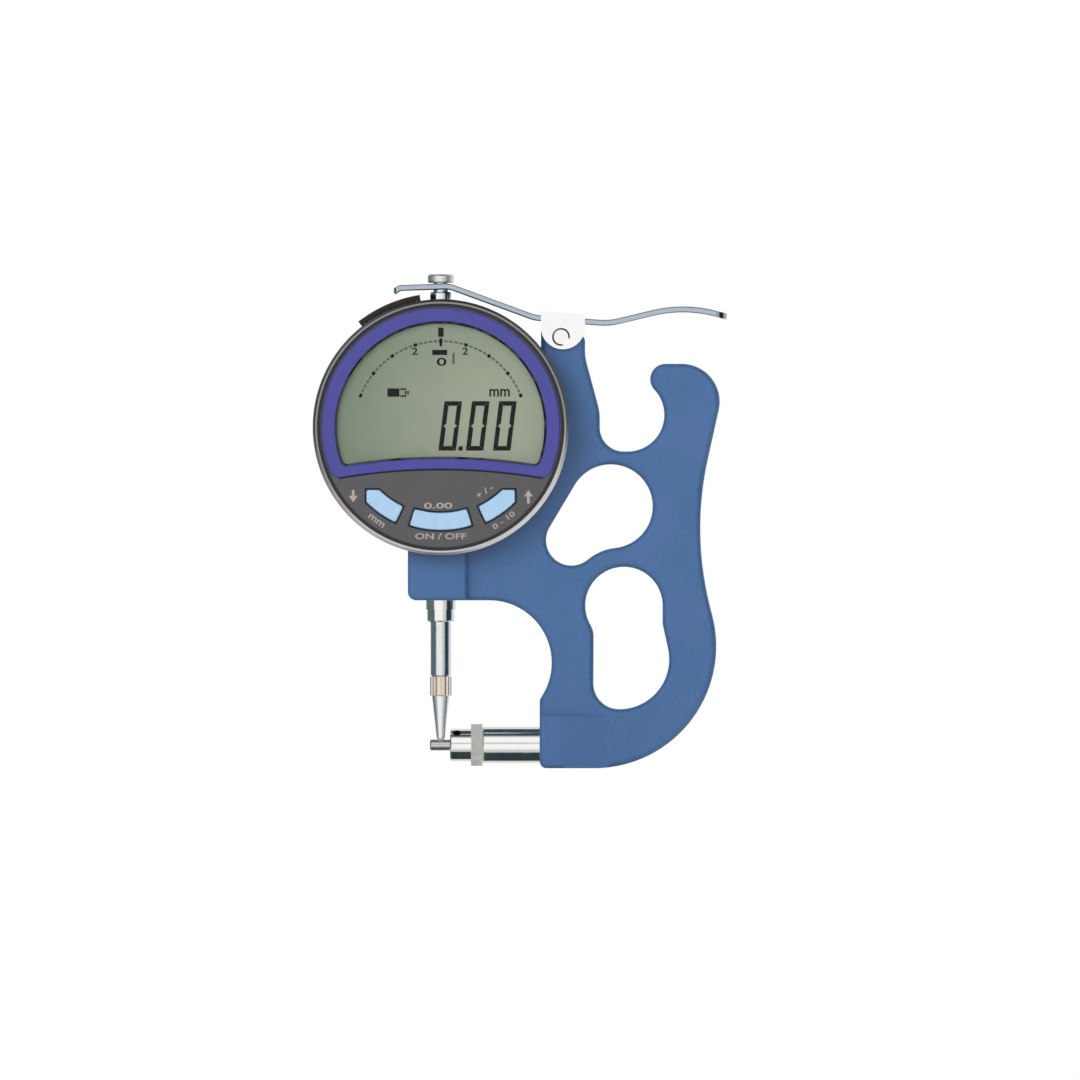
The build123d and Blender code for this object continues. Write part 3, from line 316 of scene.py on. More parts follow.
nut_plate = satin_plate("satin_plate_nut", "x")
cap_plate = satin_plate("satin_plate_cap", "z")
print("satin plates:", nut_plate.name, cap_plate.name)

# %% [markdown]
# The lever and its saddle were rolled as strip before they were bent, so their marks run along the
# strip instead of round it. The same idea works with a stretched noise: short in width and height,
# and long in the direction of the strip. The saddle is plated as white as the anvil, and the lever
# is a bare spring steel, darker and bluer, so the recipe runs twice with a colour of its own.

# %% Finishes for the bent strips
rolled_along_x = (0.04, 1.0, 0.3)


def strip_finish(name, colour, roughness):
    strip = new_finish(name, colour, roughness, metallic=1.0)
    gloss = (roughness - 0.04, roughness + 0.05)
    cloud_over(strip, 3.0, shades(colour, 0.94, 1.0), gloss, detail=4.0, edges=plate_edges)
    emboss(strip, noise(strip, placed(strip, stretch=rolled_along_x), size=0.10), height=0.001)
    return strip


strip_plate = strip_finish("bright_plate_strip", (0.94, 0.94, 0.94), 0.15)
spring_steel = strip_finish("spring_steel", (0.45, 0.51, 0.585), 0.17)
print("strips:", strip_plate.name, spring_steel.name)

# %% [markdown]
# ## Ground and hardened steel
#
# The spindle and the anvil pin are ground, not plated. They are greyer and less sharp than the
# plate, with finer rings, and the pin is the greyer of the two.

# %% The spindle and the pin
ground_colour = (0.76, 0.80, 0.82)
ground_steel = new_finish("ground_steel", ground_colour, 0.17, metallic=1.0)
cloud_over(ground_steel, 1.6, shades(ground_colour, 0.95, 1.04), gloss=(0.14, 0.21))
emboss(ground_steel, lathe_rings(ground_steel, "z"), height=0.0006)

pin_colour = (0.56, 0.57, 0.56)
pin_steel = new_finish("pin_steel", pin_colour, 0.27, metallic=1.0)
cloud_over(pin_steel, 1.1, shades(pin_colour, 0.9, 1.08), gloss=(0.23, 0.32))
emboss(pin_steel, lathe_rings(pin_steel, "x"), height=0.0002)
print("ground steels:", ground_steel.name, pin_steel.name)

# %% [markdown]
# The contact point is hardened. Its collar has kept the straw colour of the heat, while the cone
# below it is ground bright again. Where one ends is a height on the part, so a ramp on the height
# divides the two colours. Its few hundredths of a millimetre keep the edge from looking cut.

# %% The hardened tip
straw, bright_cone = (0.88, 0.79, 0.69), (0.86, 0.86, 0.85)
cone_top, collar_foot = 11.44, 11.50
tip_steel = new_finish("hardened_tip", ground_colour, 0.24, metallic=1.0)
tip_height = axes_of(tip_steel, placed(tip_steel))["Z"]
tint(tip_steel, ramp(tip_steel, tip_height, cone_top, collar_foot), [(0.0, bright_cone), (1.0, straw)])
vary_gloss(tip_steel, noise(tip_steel, placed(tip_steel), size=1.2), 0.18, 0.30)
emboss(tip_steel, lathe_rings(tip_steel, "z"), height=0.0002)
print("straw collar starts at", collar_foot, "mm")

# %% [markdown]
# ## Small dark screws and the dial's rim
#
# Set screws and cover screws are blackened in a hot bath, which leaves an uneven sheen. The rim is
# satin turned, so its rings run round the dial's own axis. Its colour also carries a painted shade
# at its top and a painted highlight at its foot: a slow change of the colour is added to the clouds.
# It is the dot product of the place, in rim breadths from the dial's middle, with the direction of
# the change.

# %% Blackened screws and the turned rim
black_oxide = new_finish("black_oxide", (0.035, 0.036, 0.040), 0.36, metallic=1.0)
cloud_over(black_oxide, 0.7, ((0.028, 0.028, 0.031), (0.060, 0.060, 0.066)), gloss=(0.30, 0.46))
emboss(black_oxide, noise(black_oxide, placed(black_oxide), size=0.12), height=0.002)

rim_colour, rim_breadth, painted_light_way = (0.54, 0.525, 0.52), 60, (0.25, 0.0, -0.97)
rim_metal = new_finish("turned_rim", rim_colour, 0.38, metallic=1.0)
rim_clouds = noise(rim_metal, placed(rim_metal), size=4.0)
# Painted shade and highlight: darker towards the rim's top and lighter towards its foot, as if lit from
# below.
rim_painted_light = add_node(rim_metal, "ShaderNodeVectorMath", {1: painted_light_way}, operation="DOT_PRODUCT")
rim_place = placed(rim_metal, (0, 0, DIAL_Z), (1 / rim_breadth, 0, 1 / rim_breadth))
join(rim_metal, rim_place, rim_painted_light.inputs[0])
rim_painted_shade, rim_painted_highlight = shades(rim_colour, 0.60, 1.22)
rim_clouds_and_painted_light = added(rim_metal, rim_clouds, 0.2, rim_painted_light.outputs["Value"])
tint(rim_metal, rim_clouds_and_painted_light, [(0.15, rim_painted_shade), (0.42, rim_painted_highlight)])
vary_gloss(rim_metal, rim_clouds, 0.34, 0.42)
emboss(rim_metal, lathe_rings(rim_metal, "y", (0, 0, DIAL_Z)), height=0.001)
print("rim nodes:", len(rim_metal.node_tree.nodes))

# %% [markdown]
# The remaining metals are inside the case and still get an honest finish, because a part from this
# library may be opened. The carrier is milled, with its lines running up it, and the battery and
# its contact are nickel plated.

# %% Milled and nickel plated parts inside
milled_along_z = (1.0, 1.0, 0.06)
milled = new_finish("milled_alloy", (0.60, 0.60, 0.61), 0.34, metallic=1.0)
milled_lines = noise(milled, placed(milled, stretch=milled_along_z), size=0.18)
tint(milled, milled_lines, [(0.3, (0.54, 0.54, 0.55)), (0.7, (0.64, 0.64, 0.65))])
emboss(milled, milled_lines, height=0.002)

nickel = new_finish("nickel_plate", (0.56, 0.54, 0.50), 0.24, metallic=1.0)
cloud_over(nickel, 1.8, ((0.50, 0.48, 0.44), (0.60, 0.58, 0.54)), gloss=(0.20, 0.32))
print("inner metals:", milled.name, nickel.name)

# %% [markdown]
# ## Moulded parts
#
# The case, the cover and the battery lid are black plastic with the fine grain of a textured mould.
# A field of small cells gives that grain. The same helper makes the rubber and the white tray, with
# a cell size and a height of their own, because what tells one plastic from another is mostly its
# grain, its gloss and its sheen.

# %% A helper for moulded grain, and the parts that use it
def moulded(name, colour, roughness, grain=0.35, height=0.008, **sockets):
    finish = new_finish(name, colour, roughness, **sockets)
    cloud_over(finish, 5.0, shades(colour, 0.90, 1.10), gloss=(roughness - 0.04, roughness + 0.05))
    emboss(finish, cells(finish, placed(finish), grain), height)
    return finish


rubber_skin = {"grain": 0.18, "height": 0.005, "Sheen_Weight": 0.1}
silicone_skin = {"grain": 0.3, "height": 0.004, "Sheen_Weight": 0.2}
case_black = moulded("case_black", (0.030, 0.029, 0.031), 0.46)
lid_black = moulded("lid_black", (0.022, 0.022, 0.024), 0.40, grain=0.25)
cover_rubber = moulded("cover_rubber", (0.020, 0.013, 0.010), 0.60, **rubber_skin)
mat_silicone = moulded("mat_silicone", (0.25, 0.25, 0.26), 0.62, **silicone_skin)
tray_white = moulded("tray_white", (0.52, 0.52, 0.50), 0.50)
socket_black = moulded("socket_black", (0.018, 0.018, 0.018), 0.44, grain=0.2)
print("moulded finishes end with", socket_black.name)

# %% [markdown]
# ## The face of the dial
#
# Behind the rim lies a grey painted panel, and the window sits in a ring of glossy violet plastic.
# The panel's paint is sprayed, so it has a very fine speckle. The violet ring is moulded smooth and
# polished: its own colour hardly varies, and its look comes from the coat and the light. The keys
# are a paler plastic with a finer skin.

# %% The panel, the violet ring and the keys
panel_grey = (0.087, 0.084, 0.085)
panel_paint = new_finish("panel_paint", panel_grey, 0.48)
speckle = noise(panel_paint, placed(panel_paint), size=0.22, detail=1.0)
tint(panel_paint, speckle, list(zip((0.3, 0.7), shades(panel_grey, 0.90, 1.10))))
vary_gloss(panel_paint, noise(panel_paint, placed(panel_paint), size=6.0), 0.44, 0.52)
emboss(panel_paint, speckle, height=0.003)

violet_colour = (0.045, 0.046, 0.300)
violet = new_finish("violet_plastic", violet_colour, 0.26, Coat_Weight=0.25, Coat_Roughness=0.10)
cloud_over(violet, 6.0, shades(violet_colour, 0.94, 1.05), gloss=(0.21, 0.28))
emboss(violet, noise(violet, placed(violet), size=1.4), height=0.004)

key_blue = (0.415, 0.63, 0.865)
key_plastic = new_finish("key_plastic", key_blue, 0.34, Coat_Weight=0.2, Coat_Roughness=0.2)
cloud_over(key_plastic, 2.2, shades(key_blue, 0.95, 1.04), gloss=(0.30, 0.40))
emboss(key_plastic, noise(key_plastic, placed(key_plastic), size=0.3), height=0.003)
print("face finishes:", panel_paint.name, violet.name, key_plastic.name)

# %% [markdown]
# ## The window and the display
#
# The window is a clear plate. It lets light through by its alpha, without bending it, so the marks
# behind stay sharp. Its own colour is nearly black, because a pale one would lie over the dark
# digits like mist. Behind it the display shows the grey green of a polarising film, with a painted
# highlight right of its middle, where the light falls on it, and painted shade darker away from there.
# The colour therefore runs with the distance from that spot, and a soft noise is added, because such
# a film is never even.

# %% The clear window and the display film
clear_plate = {"Alpha": 0.10, "IOR": 1.49, "Specular_IOR_Level": 0.2}
window_clear = new_finish("window_clear", (0.03, 0.04, 0.035), 0.05, **clear_plate)
vary_gloss(window_clear, noise(window_clear, placed(window_clear), size=7.0, detail=3.0), 0.03, 0.08)
emboss(window_clear, noise(window_clear, placed(window_clear), size=9.0), height=0.003)

# Painted light: the film's lit colour near a spot right of the middle, its shaded colour away from it.
film_lit, film_shaded = (0.50, 0.555, 0.425), (0.320, 0.390, 0.285)
painted_light_spot, painted_light_until, painted_shade_from = (12.0, 0, 76.0), 7.0, 33.0
film = new_finish("display_film", film_lit, 0.40, Specular_IOR_Level=0.2)
film_radius = length_of(film, placed(film, painted_light_spot, (1, 0, 1)))
film_painted_light_share = ramp(film, film_radius, painted_light_until, painted_shade_from, high=0.7)
film_sum = added(film, noise(film, placed(film), size=5.0, detail=3.0), 0.30, film_painted_light_share)
tint(film, film_sum, [(0.15, film_lit), (0.85, film_shaded)])
emboss(film, noise(film, placed(film), size=0.15), height=0.002)
print("window alpha:", clear_plate["Alpha"], "film nodes:", len(film.node_tree.nodes))

# %% [markdown]
# ## What is inside the case
#
# The circuit board is green lacquer over copper, so its colour steps between two greens along a
# coarse grid. The measuring scale is an amber strip with printed bars, and a wave texture along the
# spindle draws them at their pitch.

# %% The board and the scale
trace_green, field_green = (0.012, 0.085, 0.032), (0.024, 0.150, 0.060)
board_green = new_finish("board_lacquer", (0.02, 0.12, 0.05), 0.30, Coat_Weight=0.4, Coat_Roughness=0.12)
board_cells = add_node(board_green, "ShaderNodeTexVoronoi", {"Scale": 0.45}, distance="MANHATTAN")
join(board_green, placed(board_green), board_cells.inputs["Vector"])
tint(board_green, board_cells.outputs["Distance"], [(0.30, trace_green), (0.42, field_green)])
emboss(board_green, board_cells.outputs["Distance"], height=0.02)

bar_amber, gap_amber = (0.42, 0.27, 0.08), (0.62, 0.56, 0.40)
scale_film = new_finish("scale_film", (0.45, 0.30, 0.10), 0.28, Coat_Weight=0.5, Coat_Roughness=0.08)
scale_bars = add_node(scale_film, "ShaderNodeTexWave", {"Scale": 0.4}, bands_direction="Z")
join(scale_film, placed(scale_film), scale_bars.inputs["Vector"])
tint(scale_film, scale_bars.outputs["Fac"], [(0.45, bar_amber), (0.55, gap_amber)])
emboss(scale_film, scale_bars.outputs["Fac"], height=0.01)
print("inner finishes:", board_green.name, scale_film.name)

# %% [markdown]
# ## Each part gets its finish
#
# One table names the finish of every part of the construction model. A part keeps its own mesh, and
# only its material slots change.

# %% Put the finishes on the parts
dark_screws = ["stem_set_screw", "anvil_clamp_screw", "anvil_pin_screw", "back_cover_screws"]
finish_of = {
    enamel: ["frame_casting"],
    upright_plate: ["lower_bush", "upper_bush", "stem"],
    anvil_plate: ["anvil_shank", "anvil_holder"],
    nut_plate: ["anvil_lock_nut"],
    cap_plate: ["lifting_cap"],
    pivot_plate: ["lever_pin"],
    strip_plate: ["lever_saddle"],
    spring_steel: ["lever_strip"],
    ground_steel: ["spindle", "guide_pin", "guide_rail", "return_spring"],
    pin_steel: ["anvil_pin"],
    tip_steel: ["contact_point"],
    black_oxide: dark_screws + ["lever_pin_clip"],
    rim_metal: ["bezel_ring"],
    milled: ["encoder_carrier"],
    nickel: ["battery", "battery_contact"],
    case_black: ["case_body", "back_cover"],
    lid_black: ["battery_lid"],
    cover_rubber: ["port_cover"],
    mat_silicone: ["key_mat"],
    tray_white: ["display_tray"],
    socket_black: ["data_socket", "reading_head"],
    panel_paint: ["face_panel"],
    violet: ["window_surround"],
    key_plastic: ["left_key", "centre_key", "right_key"],
    window_clear: ["window_lens"],
    film: ["lcd_panel"],
    board_green: ["circuit_board"],
    scale_film: ["encoder_scale"],
}
for finish, names in finish_of.items():
    for name in names:
        nodes[name].data.materials.clear()
        nodes[name].data.materials.append(finish)
unfinished = set(nodes) - {name for names in finish_of.values() for name in names}
print("parts without a finish:", sorted(unfinished))

# %% [markdown]
# ## Ink for the display and for the panel
#
# The display's marks are dark where the crystal is switched on and pale where it only rests, so
# there are two inks for it. The legends on the panel are screen printed in a warm pale grey. Two more
# inks are painted shadow: a near black for the shade in the gaps round the keys and under the arch,
# and a dark grey for the shade along the rim. Printed ink is uneven in its cover, which a fine noise
# gives.

# %% Three inks and two painted shadows
def ink(name, colour, roughness, unevenness):
    finish = new_finish(name, colour, roughness, Specular_IOR_Level=0.2)
    colours, gloss = shades(colour, 1 - unevenness, 1 + unevenness), (roughness - 0.05, roughness + 0.05)
    emboss(finish, cloud_over(finish, 0.16, colours, gloss, detail=1.0), height=0.001)
    return finish


crystal_dark = ink("crystal_dark", (0.005, 0.011, 0.010), 0.55, 0.12)
crystal_pale = ink("crystal_pale", (0.140, 0.158, 0.118), 0.50, 0.10)
print_grey = ink("print_grey", (0.44, 0.40, 0.385), 0.50, 0.12)
# Painted shadow: a near black for the shade in the gaps round the keys and under the arch.
print_black = ink("print_black", (0.012, 0.012, 0.024), 0.50, 0.10)
# Painted shadow: a dark grey for the shade that the rim casts along the panel.
border_grey = ink("border_grey", (0.034, 0.033, 0.042), 0.50, 0.10)

# %% [markdown]
# ## Marks are thin solids
#
# A printed mark is made as a real solid, a few hundredths of a millimetre thick, which stands on
# the surface that carries it. That keeps it clear of the surface in every view. Its back is sunk a
# little below the surface, so that no gap shows. `flat_marks` takes outlines in the plane of the
# dial, in millimetres, and gives each one that thickness.

# %% A helper that turns outlines into marks
display_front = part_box("lcd_panel")[0].y * 1000
panel_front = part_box("face_panel")[0].y * 1000
mark_height = 0.03
mark_root = mark_height / 3


def new_piece(name, data):
    data.name = name
    piece = bpy.data.objects.new(name, data)
    bpy.context.scene.collection.objects.link(piece)
    return piece


def finish_mark(piece, finish):
    piece.data.materials.clear()
    piece.data.materials.append(finish)
    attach(piece, "gauge")


def flat_marks(name, outlines, finish, surface):
    build = bmesh.new()
    front, back = mm(surface - mark_height), mm(surface + mark_root)
    for outline in outlines:
        near = [build.verts.new((mm(x), front, mm(z))) for x, z in outline]
        far = [build.verts.new((mm(x), back, mm(z))) for x, z in outline]
        build.faces.new(near)
        build.faces.new(far[::-1])
        for i in range(len(outline)):
            j = (i + 1) % len(outline)
            build.faces.new((near[j], near[i], far[i], far[j]))
    bmesh.ops.recalc_face_normals(build, faces=build.faces)
    mesh = bpy.data.meshes.new(name)
    build.to_mesh(mesh)
    build.free()
    finish_mark(new_piece(name, mesh), finish)


print("display front", round(display_front, 3), "panel front", round(panel_front, 3))

# %% [markdown]
# ## The digits
#
# The reading is 0.00. Each digit is a slanted figure of straight segments, as on every such display,
# and a nought lights all of them except the middle one. The segments meet in square corners that
# are cut at 45 degrees with a hair gap, and the side ones are pointed where they meet half way up.
# One corner of the figure is drawn, and the other three are its mirror images. The slant is a
# shear, so that a point moves to the right as it goes up.

# %% Seven segment digits
digit_columns = [438.3, 465.8, 492.9]
digit_top, digit_foot, digit_breadth, stroke_breadth = 401.2, 450.6, 17.6, 4.6
half_w, half_h = digit_breadth * PIXEL / 2, (digit_foot - digit_top) * PIXEL / 2
stroke, gap, slant = stroke_breadth * PIXEL, 0.02, 0.125


def nought_bars(left, foot):
    inner_w, inner_h = half_w - stroke, half_h - stroke
    top = [(gap - half_w, half_h), (half_w - gap, half_h), (inner_w - gap, inner_h), (gap - inner_w, inner_h)]
    side = [(half_w, half_h - gap), (half_w, gap), (half_w - stroke / 2, gap),
            (inner_w, gap + stroke / 2), (inner_w, inner_h - gap)]
    bars = [top, [(x, -z) for x, z in top]]
    for across, up in ((1, 1), (-1, 1), (1, -1), (-1, -1)):
        bars.append([(across * x, up * z) for x, z in side])
    return [[(left + half_w + x + slant * (z + half_h), foot + half_h + z) for x, z in bar] for bar in bars]


digit_bars = []
for column in digit_columns:
    digit_bars += nought_bars(photo_x(column), photo_z(digit_foot))
point_x, point_z, point_size, point_lean = photo_x(458.2), photo_z(digit_foot), 1.0, 0.1
digit_bars.append([(point_x, point_z), (point_x + point_size, point_z),
                   (point_x + point_size + point_lean, point_z + point_size),
                   (point_x + point_lean, point_z + point_size)])
flat_marks("reading_digits", digit_bars, crystal_dark, display_front)
print("segments and point:", len(digit_bars))

# %% [markdown]
# ## The round scale above the digits
#
# The scale is an arc of fine ticks with a stronger mark at every fifth one. Marks that repeat along
# a curve are a task for Geometry Nodes: one tree puts points on an arc, stands a tick on each, and
# turns it to point at the middle. The tree has inputs for the radius, the angle and the tick, so
# the fine and the strong marks are the same tree with other values. Skip Every leaves out the
# places that the strong marks take, and Offset shifts which ones those are.

# %% A tree that lays ticks along an arc
arc_inputs = {"Count": "Int", "Radius": "Float", "Half Angle": "Float", "Tick Size": "Vector",
              "Centre": "Vector", "Skip Every": "Int", "Offset": "Int", "Ink": "Material"}


def arc_tree():
    tree = bpy.data.node_groups.new("ticks_on_an_arc", "GeometryNodeTree")
    tree.interface.new_socket(name="Geometry", in_out="OUTPUT", socket_type="NodeSocketGeometry")
    for name, kind in arc_inputs.items():
        tree.interface.new_socket(name=name, in_out="INPUT", socket_type="NodeSocket" + kind)
    given, result = tree.nodes.new("NodeGroupInput").outputs, tree.nodes.new("NodeGroupOutput")

    def fill(made, sources):
        for socket, source in sources:
            if isinstance(source, float):
                made.inputs[socket].default_value = source
            else:
                tree.links.new(source, made.inputs[socket])
        return made.outputs[0]

    def node(kind, **sources):
        return fill(tree.nodes.new(kind), sources.items())

    def sums(operation, *sources, kind="ShaderNodeMath"):
        made = tree.nodes.new(kind)
        made.operation = operation
        return fill(made, enumerate(sources))

    index = node("GeometryNodeInputIndex")
    share = sums("DIVIDE", index, sums("SUBTRACT", given["Count"], 1.0))
    turn = sums("MULTIPLY", sums("MULTIPLY_ADD", share, 2.0, -1.0), given["Half Angle"])
    across = sums("MULTIPLY", sums("SINE", turn), given["Radius"])
    up = sums("MULTIPLY", sums("COSINE", turn), given["Radius"])
    on_arc = node("ShaderNodeCombineXYZ", X=across, Z=up)
    place = sums("ADD", on_arc, given["Centre"], kind="ShaderNodeVectorMath")
    points = node("GeometryNodePoints", Count=given["Count"])
    row = node("GeometryNodeSetPosition", Geometry=points, Position=place)
    tick = node("GeometryNodeMeshCube", Size=given["Tick Size"])
    facing = node("ShaderNodeCombineXYZ", Y=turn)
    counted = sums("MODULO", sums("ADD", index, given["Offset"]), given["Skip Every"])
    kept = sums("GREATER_THAN", counted, 0.5)
    stood = node("GeometryNodeInstanceOnPoints", Points=row, Selection=kept, Instance=tick, Rotation=facing)
    real = node("GeometryNodeRealizeInstances", Geometry=stood)
    inked = node("GeometryNodeSetMaterial", Geometry=real, Material=given["Ink"])
    tree.links.new(inked, result.inputs[0])
    return tree


ticks_on_an_arc = arc_tree()
print("arc tree nodes:", len(ticks_on_an_arc.nodes))

# %% [markdown]
# A modifier holds the tree's inputs under each socket's identifier, so a helper looks the
# identifiers up by name, runs the tree once, and keeps the plain mesh that comes out. After that the
# piece has no modifier left, and rides like any other.

# %% A helper that runs a tree and keeps its mesh
def mesh_of(maker):
    bpy.context.view_layer.update()
    evaluated = maker.evaluated_get(bpy.context.evaluated_depsgraph_get())
    mesh = bpy.data.meshes.new_from_object(evaluated)
    bpy.data.objects.remove(maker)
    return mesh


def grown(name, tree, **values):
    carrier = new_piece(name + "_carrier", bpy.data.meshes.new(name + "_carrier"))
    modifier = carrier.modifiers.new("grow", "NODES")
    modifier.node_group = tree
    for item in tree.interface.items_tree:
        key = item.name.replace(" ", "_").lower()
        if item.in_out == "INPUT" and key in values:
            modifier[item.identifier] = values[key]
    return new_piece(name, mesh_of(carrier))


# %% The fine and the strong ticks
scale_radius, scale_step = 86.0 * PIXEL, math.radians(17.1)
strong_count, fine_per_step, never = 9, 5, 99
tick_length, tick_depth, fine_width, strong_width = 0.85, 0.04, 0.42, 0.75
scale_centre = (0.0, mm(display_front - mark_root), mm(DIAL_Z))


def scale_ticks(name, finish, count, width, skip_every, offset):
    ticks = grown(name, ticks_on_an_arc, count=count, radius=mm(scale_radius),
                  half_angle=(strong_count - 1) / 2 * scale_step,
                  tick_size=(mm(tick_length), mm(tick_depth), mm(width)), centre=scale_centre,
                  skip_every=skip_every, offset=offset, ink=finish)
    finish_mark(ticks, finish)
    print(name, "faces:", len(ticks.data.polygons))


fine_count = (strong_count - 1) * fine_per_step + 1
scale_ticks("scale_fine_ticks", crystal_pale, fine_count, fine_width, fine_per_step, offset=0)
scale_ticks("scale_strong_ticks", crystal_dark, strong_count, strong_width, never, offset=1)

# %% [markdown]
# ## Figures and small signs
#
# The figures on the scale and the sign for millimetres are real lettering, so Blender's own plain
# font draws them. A text object lies in the floor plane, so it is made a mesh first, stood up to
# face the reader, fitted to the height and the width of its letters, and only then put in place.

# %% A helper for lettering
letter_weight, letter_smoothness = 0.014, 4


def lettering(name, words, column, row, height, width, finish, surface, turn=0):
    line = bpy.data.curves.new(name, "FONT")
    line.body = words
    line.align_x, line.align_y = "CENTER", "CENTER"
    line.extrude, line.offset, line.resolution_u = 0.5, letter_weight, letter_smoothness
    mesh = mesh_of(new_piece(name + "_writer", line))
    corners = [vertex.co for vertex in mesh.vertices]
    low = Vector(min(c[i] for c in corners) for i in range(3))
    high = Vector(max(c[i] for c in corners) for i in range(3))
    thickness = mark_height + mark_root
    fit = Matrix.Diagonal((width / (high.x - low.x), height / (high.y - low.y), thickness, 1))
    stand = Matrix.Rotation(math.radians(90), 4, "X")
    lean = Matrix.Rotation(math.radians(turn), 4, "Y")
    place = Matrix.Translation((photo_x(column), surface - mark_root, photo_z(row)))
    centre = Matrix.Translation(-(low + high) / 2)
    mesh.transform(Matrix.Scale(mm(1), 4) @ place @ lean @ stand @ fit @ centre)
    finish_mark(new_piece(name, mesh), finish)


# %% Figures of the scale, and the millimetre sign
display_words = {
    "scale_figure_left": ("2", 414.8, 351.2, 1.7, 1.35),
    "scale_figure_right": ("2", 465.2, 351.2, 1.7, 1.35),
    "scale_figure_middle": ("0", 441.6, 361.8, 1.9, 2.3),
    "display_unit": ("mm", 499.6, 392.7, 1.8, 4.8),
}
for name, (words, column, row, height, width) in display_words.items():
    lettering(name, words, column, row, height, width, crystal_dark, display_front)
print("display words:", len(display_words))

# %% [markdown]
# The pointer at the top of the scale stands at nought: a broad short bar, a thin one below it, and
# a cross bar under the arc. The block at the left is the battery sign, which every display of this
# kind has, with its pole at the right. Each bar is a box between two columns and two rows of the
# photograph.

# %% The pointer and the battery sign
def box_outline(left, top, right, foot):
    x0, x1, z0, z1 = photo_x(left), photo_x(right), photo_z(foot), photo_z(top)
    return [(x0, z0), (x1, z0), (x1, z1), (x0, z1)]


broad_bar, thin_bar = (438.2, 327.6, 443.6, 336.8), (439.6, 338.2, 442.0, 346.4)
cross_bar, side_stroke = (432.2, 349.8, 447.2, 355.0), (452.4, 353.0, 454.6, 364.0)
battery_fill, battery_pole = (387.4, 388.4, 399.4, 396.8), (407.2, 391.0, 408.8, 394.4)
battery_rim = [(400.4, 388.4, 406.4, 390.0), (400.4, 395.2, 406.4, 396.8), (404.8, 390.6, 406.4, 394.6)]

pointer_bars = [box_outline(*bar) for bar in (broad_bar, thin_bar, cross_bar)]
flat_marks("pointer", pointer_bars, crystal_dark, display_front)
flat_marks("pointer_stroke", [box_outline(*side_stroke)], crystal_pale, display_front)
battery_bars = [box_outline(*bar) for bar in (battery_fill, *battery_rim, battery_pole)]
flat_marks("battery_sign", battery_bars, crystal_dark, display_front)
print("bars in the signs:", len(pointer_bars) + 1 + len(battery_bars))

# %% [markdown]
# ## Legends on the panel
#
# The arrows beside the outer keys are a stem and a head. The words near the keys are only what such
# keys do: on and off, the unit, the sign and a plain number. They lie along the keys, so the outer
# ones lean with them.

# %% Arrows
arrow_half, arrow_stem, arrow_head = 1.05, 0.32, 1.5


def arrow(column, tail_row, tip_row):
    middle, tail, tip = photo_x(column), photo_z(tail_row), photo_z(tip_row)
    neck = tip - math.copysign(arrow_head, tip - tail)
    return [(middle - arrow_stem, tail), (middle + arrow_stem, tail), (middle + arrow_stem, neck),
            (middle + arrow_half, neck), (middle, tip), (middle - arrow_half, neck),
            (middle - arrow_stem, neck)]


arrows = [arrow(353.2, tail_row=490.0, tip_row=502.2), arrow(528.4, tail_row=503.6, tip_row=490.0)]
flat_marks("panel_arrows", arrows, print_grey, panel_front)
print("arrows:", len(arrows))

# %% Key legends
panel_words = {
    "legend_switch": ("ON / OFF", 440.7, 536.2, 1.45, 12.0, 0),
    "legend_number": ("0.00", 438.2, 505.6, 1.4, 6.6, 0),
    "legend_unit": ("mm", 376.6, 520.8, 1.15, 4.2, 36),
    "legend_sign": ("+ / -", 484.6, 491.4, 1.4, 4.4, -32),
    "legend_range": ("0 - 10", 503.6, 520.2, 1.3, 6.0, -36),
}
for name, (words, column, row, height, width, turn) in panel_words.items():
    lettering(name, words, column, row, height, width, print_grey, panel_front, turn)
print("legends:", len(panel_words))

# %% [markdown]
# ## Painted shadow lines on the panel
#
# Thin dark lines of painted shadow: one frames each key where its gap lies in shade, another lies
# under the flat arch that cuts the violet ring off, and a dark border runs along the panel's rim,
# where the rim shades the panel. They make the parts look set into the panel. A line is the band
# between an outline and the same outline grown by its width. Every outline here is known from the
# model's sizes: the keys lie between two circles round the dial's middle.

# %% A helper for a line that follows an outline
sharpest_corner = 0.5


def grown_outline(points, distance):
    moved = []
    for i, (bx, bz) in enumerate(points):
        (ax, az), (cx, cz) = points[i - 1], points[(i + 1) % len(points)]
        first, second = Vector((bx - ax, bz - az)).normalized(), Vector((cx - bx, cz - bz)).normalized()
        normal = Vector((first.y + second.y, -first.x - second.x)).normalized()
        reach = distance / max(sharpest_corner, normal.dot(Vector((first.y, -first.x))))
        moved.append((bx + normal.x * reach, bz + normal.y * reach))
    return moved


def line_round(name, shapes, start, width, finish):
    quads = []
    for points in shapes:
        near, far = grown_outline(points, start), grown_outline(points, start + width)
        for i in range(len(points)):
            j = (i + 1) % len(points)
            quads.append([(x, DIAL_Z + z) for x, z in (near[i], near[j], far[j], far[i])])
    flat_marks(name, quads, finish, panel_front)


# %% The painted shadow lines round the keys
side_outer, side_inner, side_x, side_top = 24.7, 20.6, 17.4, 14.7
centre_outer, centre_inner = 24.1, 20.1
side_turn, centre_turn = math.radians(25.4), math.radians(17.6)


def arc_points(radius, start, end, count):
    turns = [start + (end - start) * i / (count - 1) for i in range(count)]
    return [(radius * math.sin(turn), -radius * math.cos(turn)) for turn in turns]


inner_x = math.sqrt(side_inner ** 2 - side_top ** 2)
right_key_shape = arc_points(side_outer, side_turn, math.asin(side_x / side_outer), 9)
right_key_shape.append((side_x, -side_top))
right_key_shape += arc_points(side_inner, math.asin(inner_x / side_inner), side_turn, 9)
left_key_shape = [(-x, z) for x, z in reversed(right_key_shape)]
centre_key_shape = arc_points(centre_outer, -centre_turn, centre_turn, 13)
centre_key_shape += arc_points(centre_inner, centre_turn, -centre_turn, 13)
key_shapes = [left_key_shape, right_key_shape, centre_key_shape]
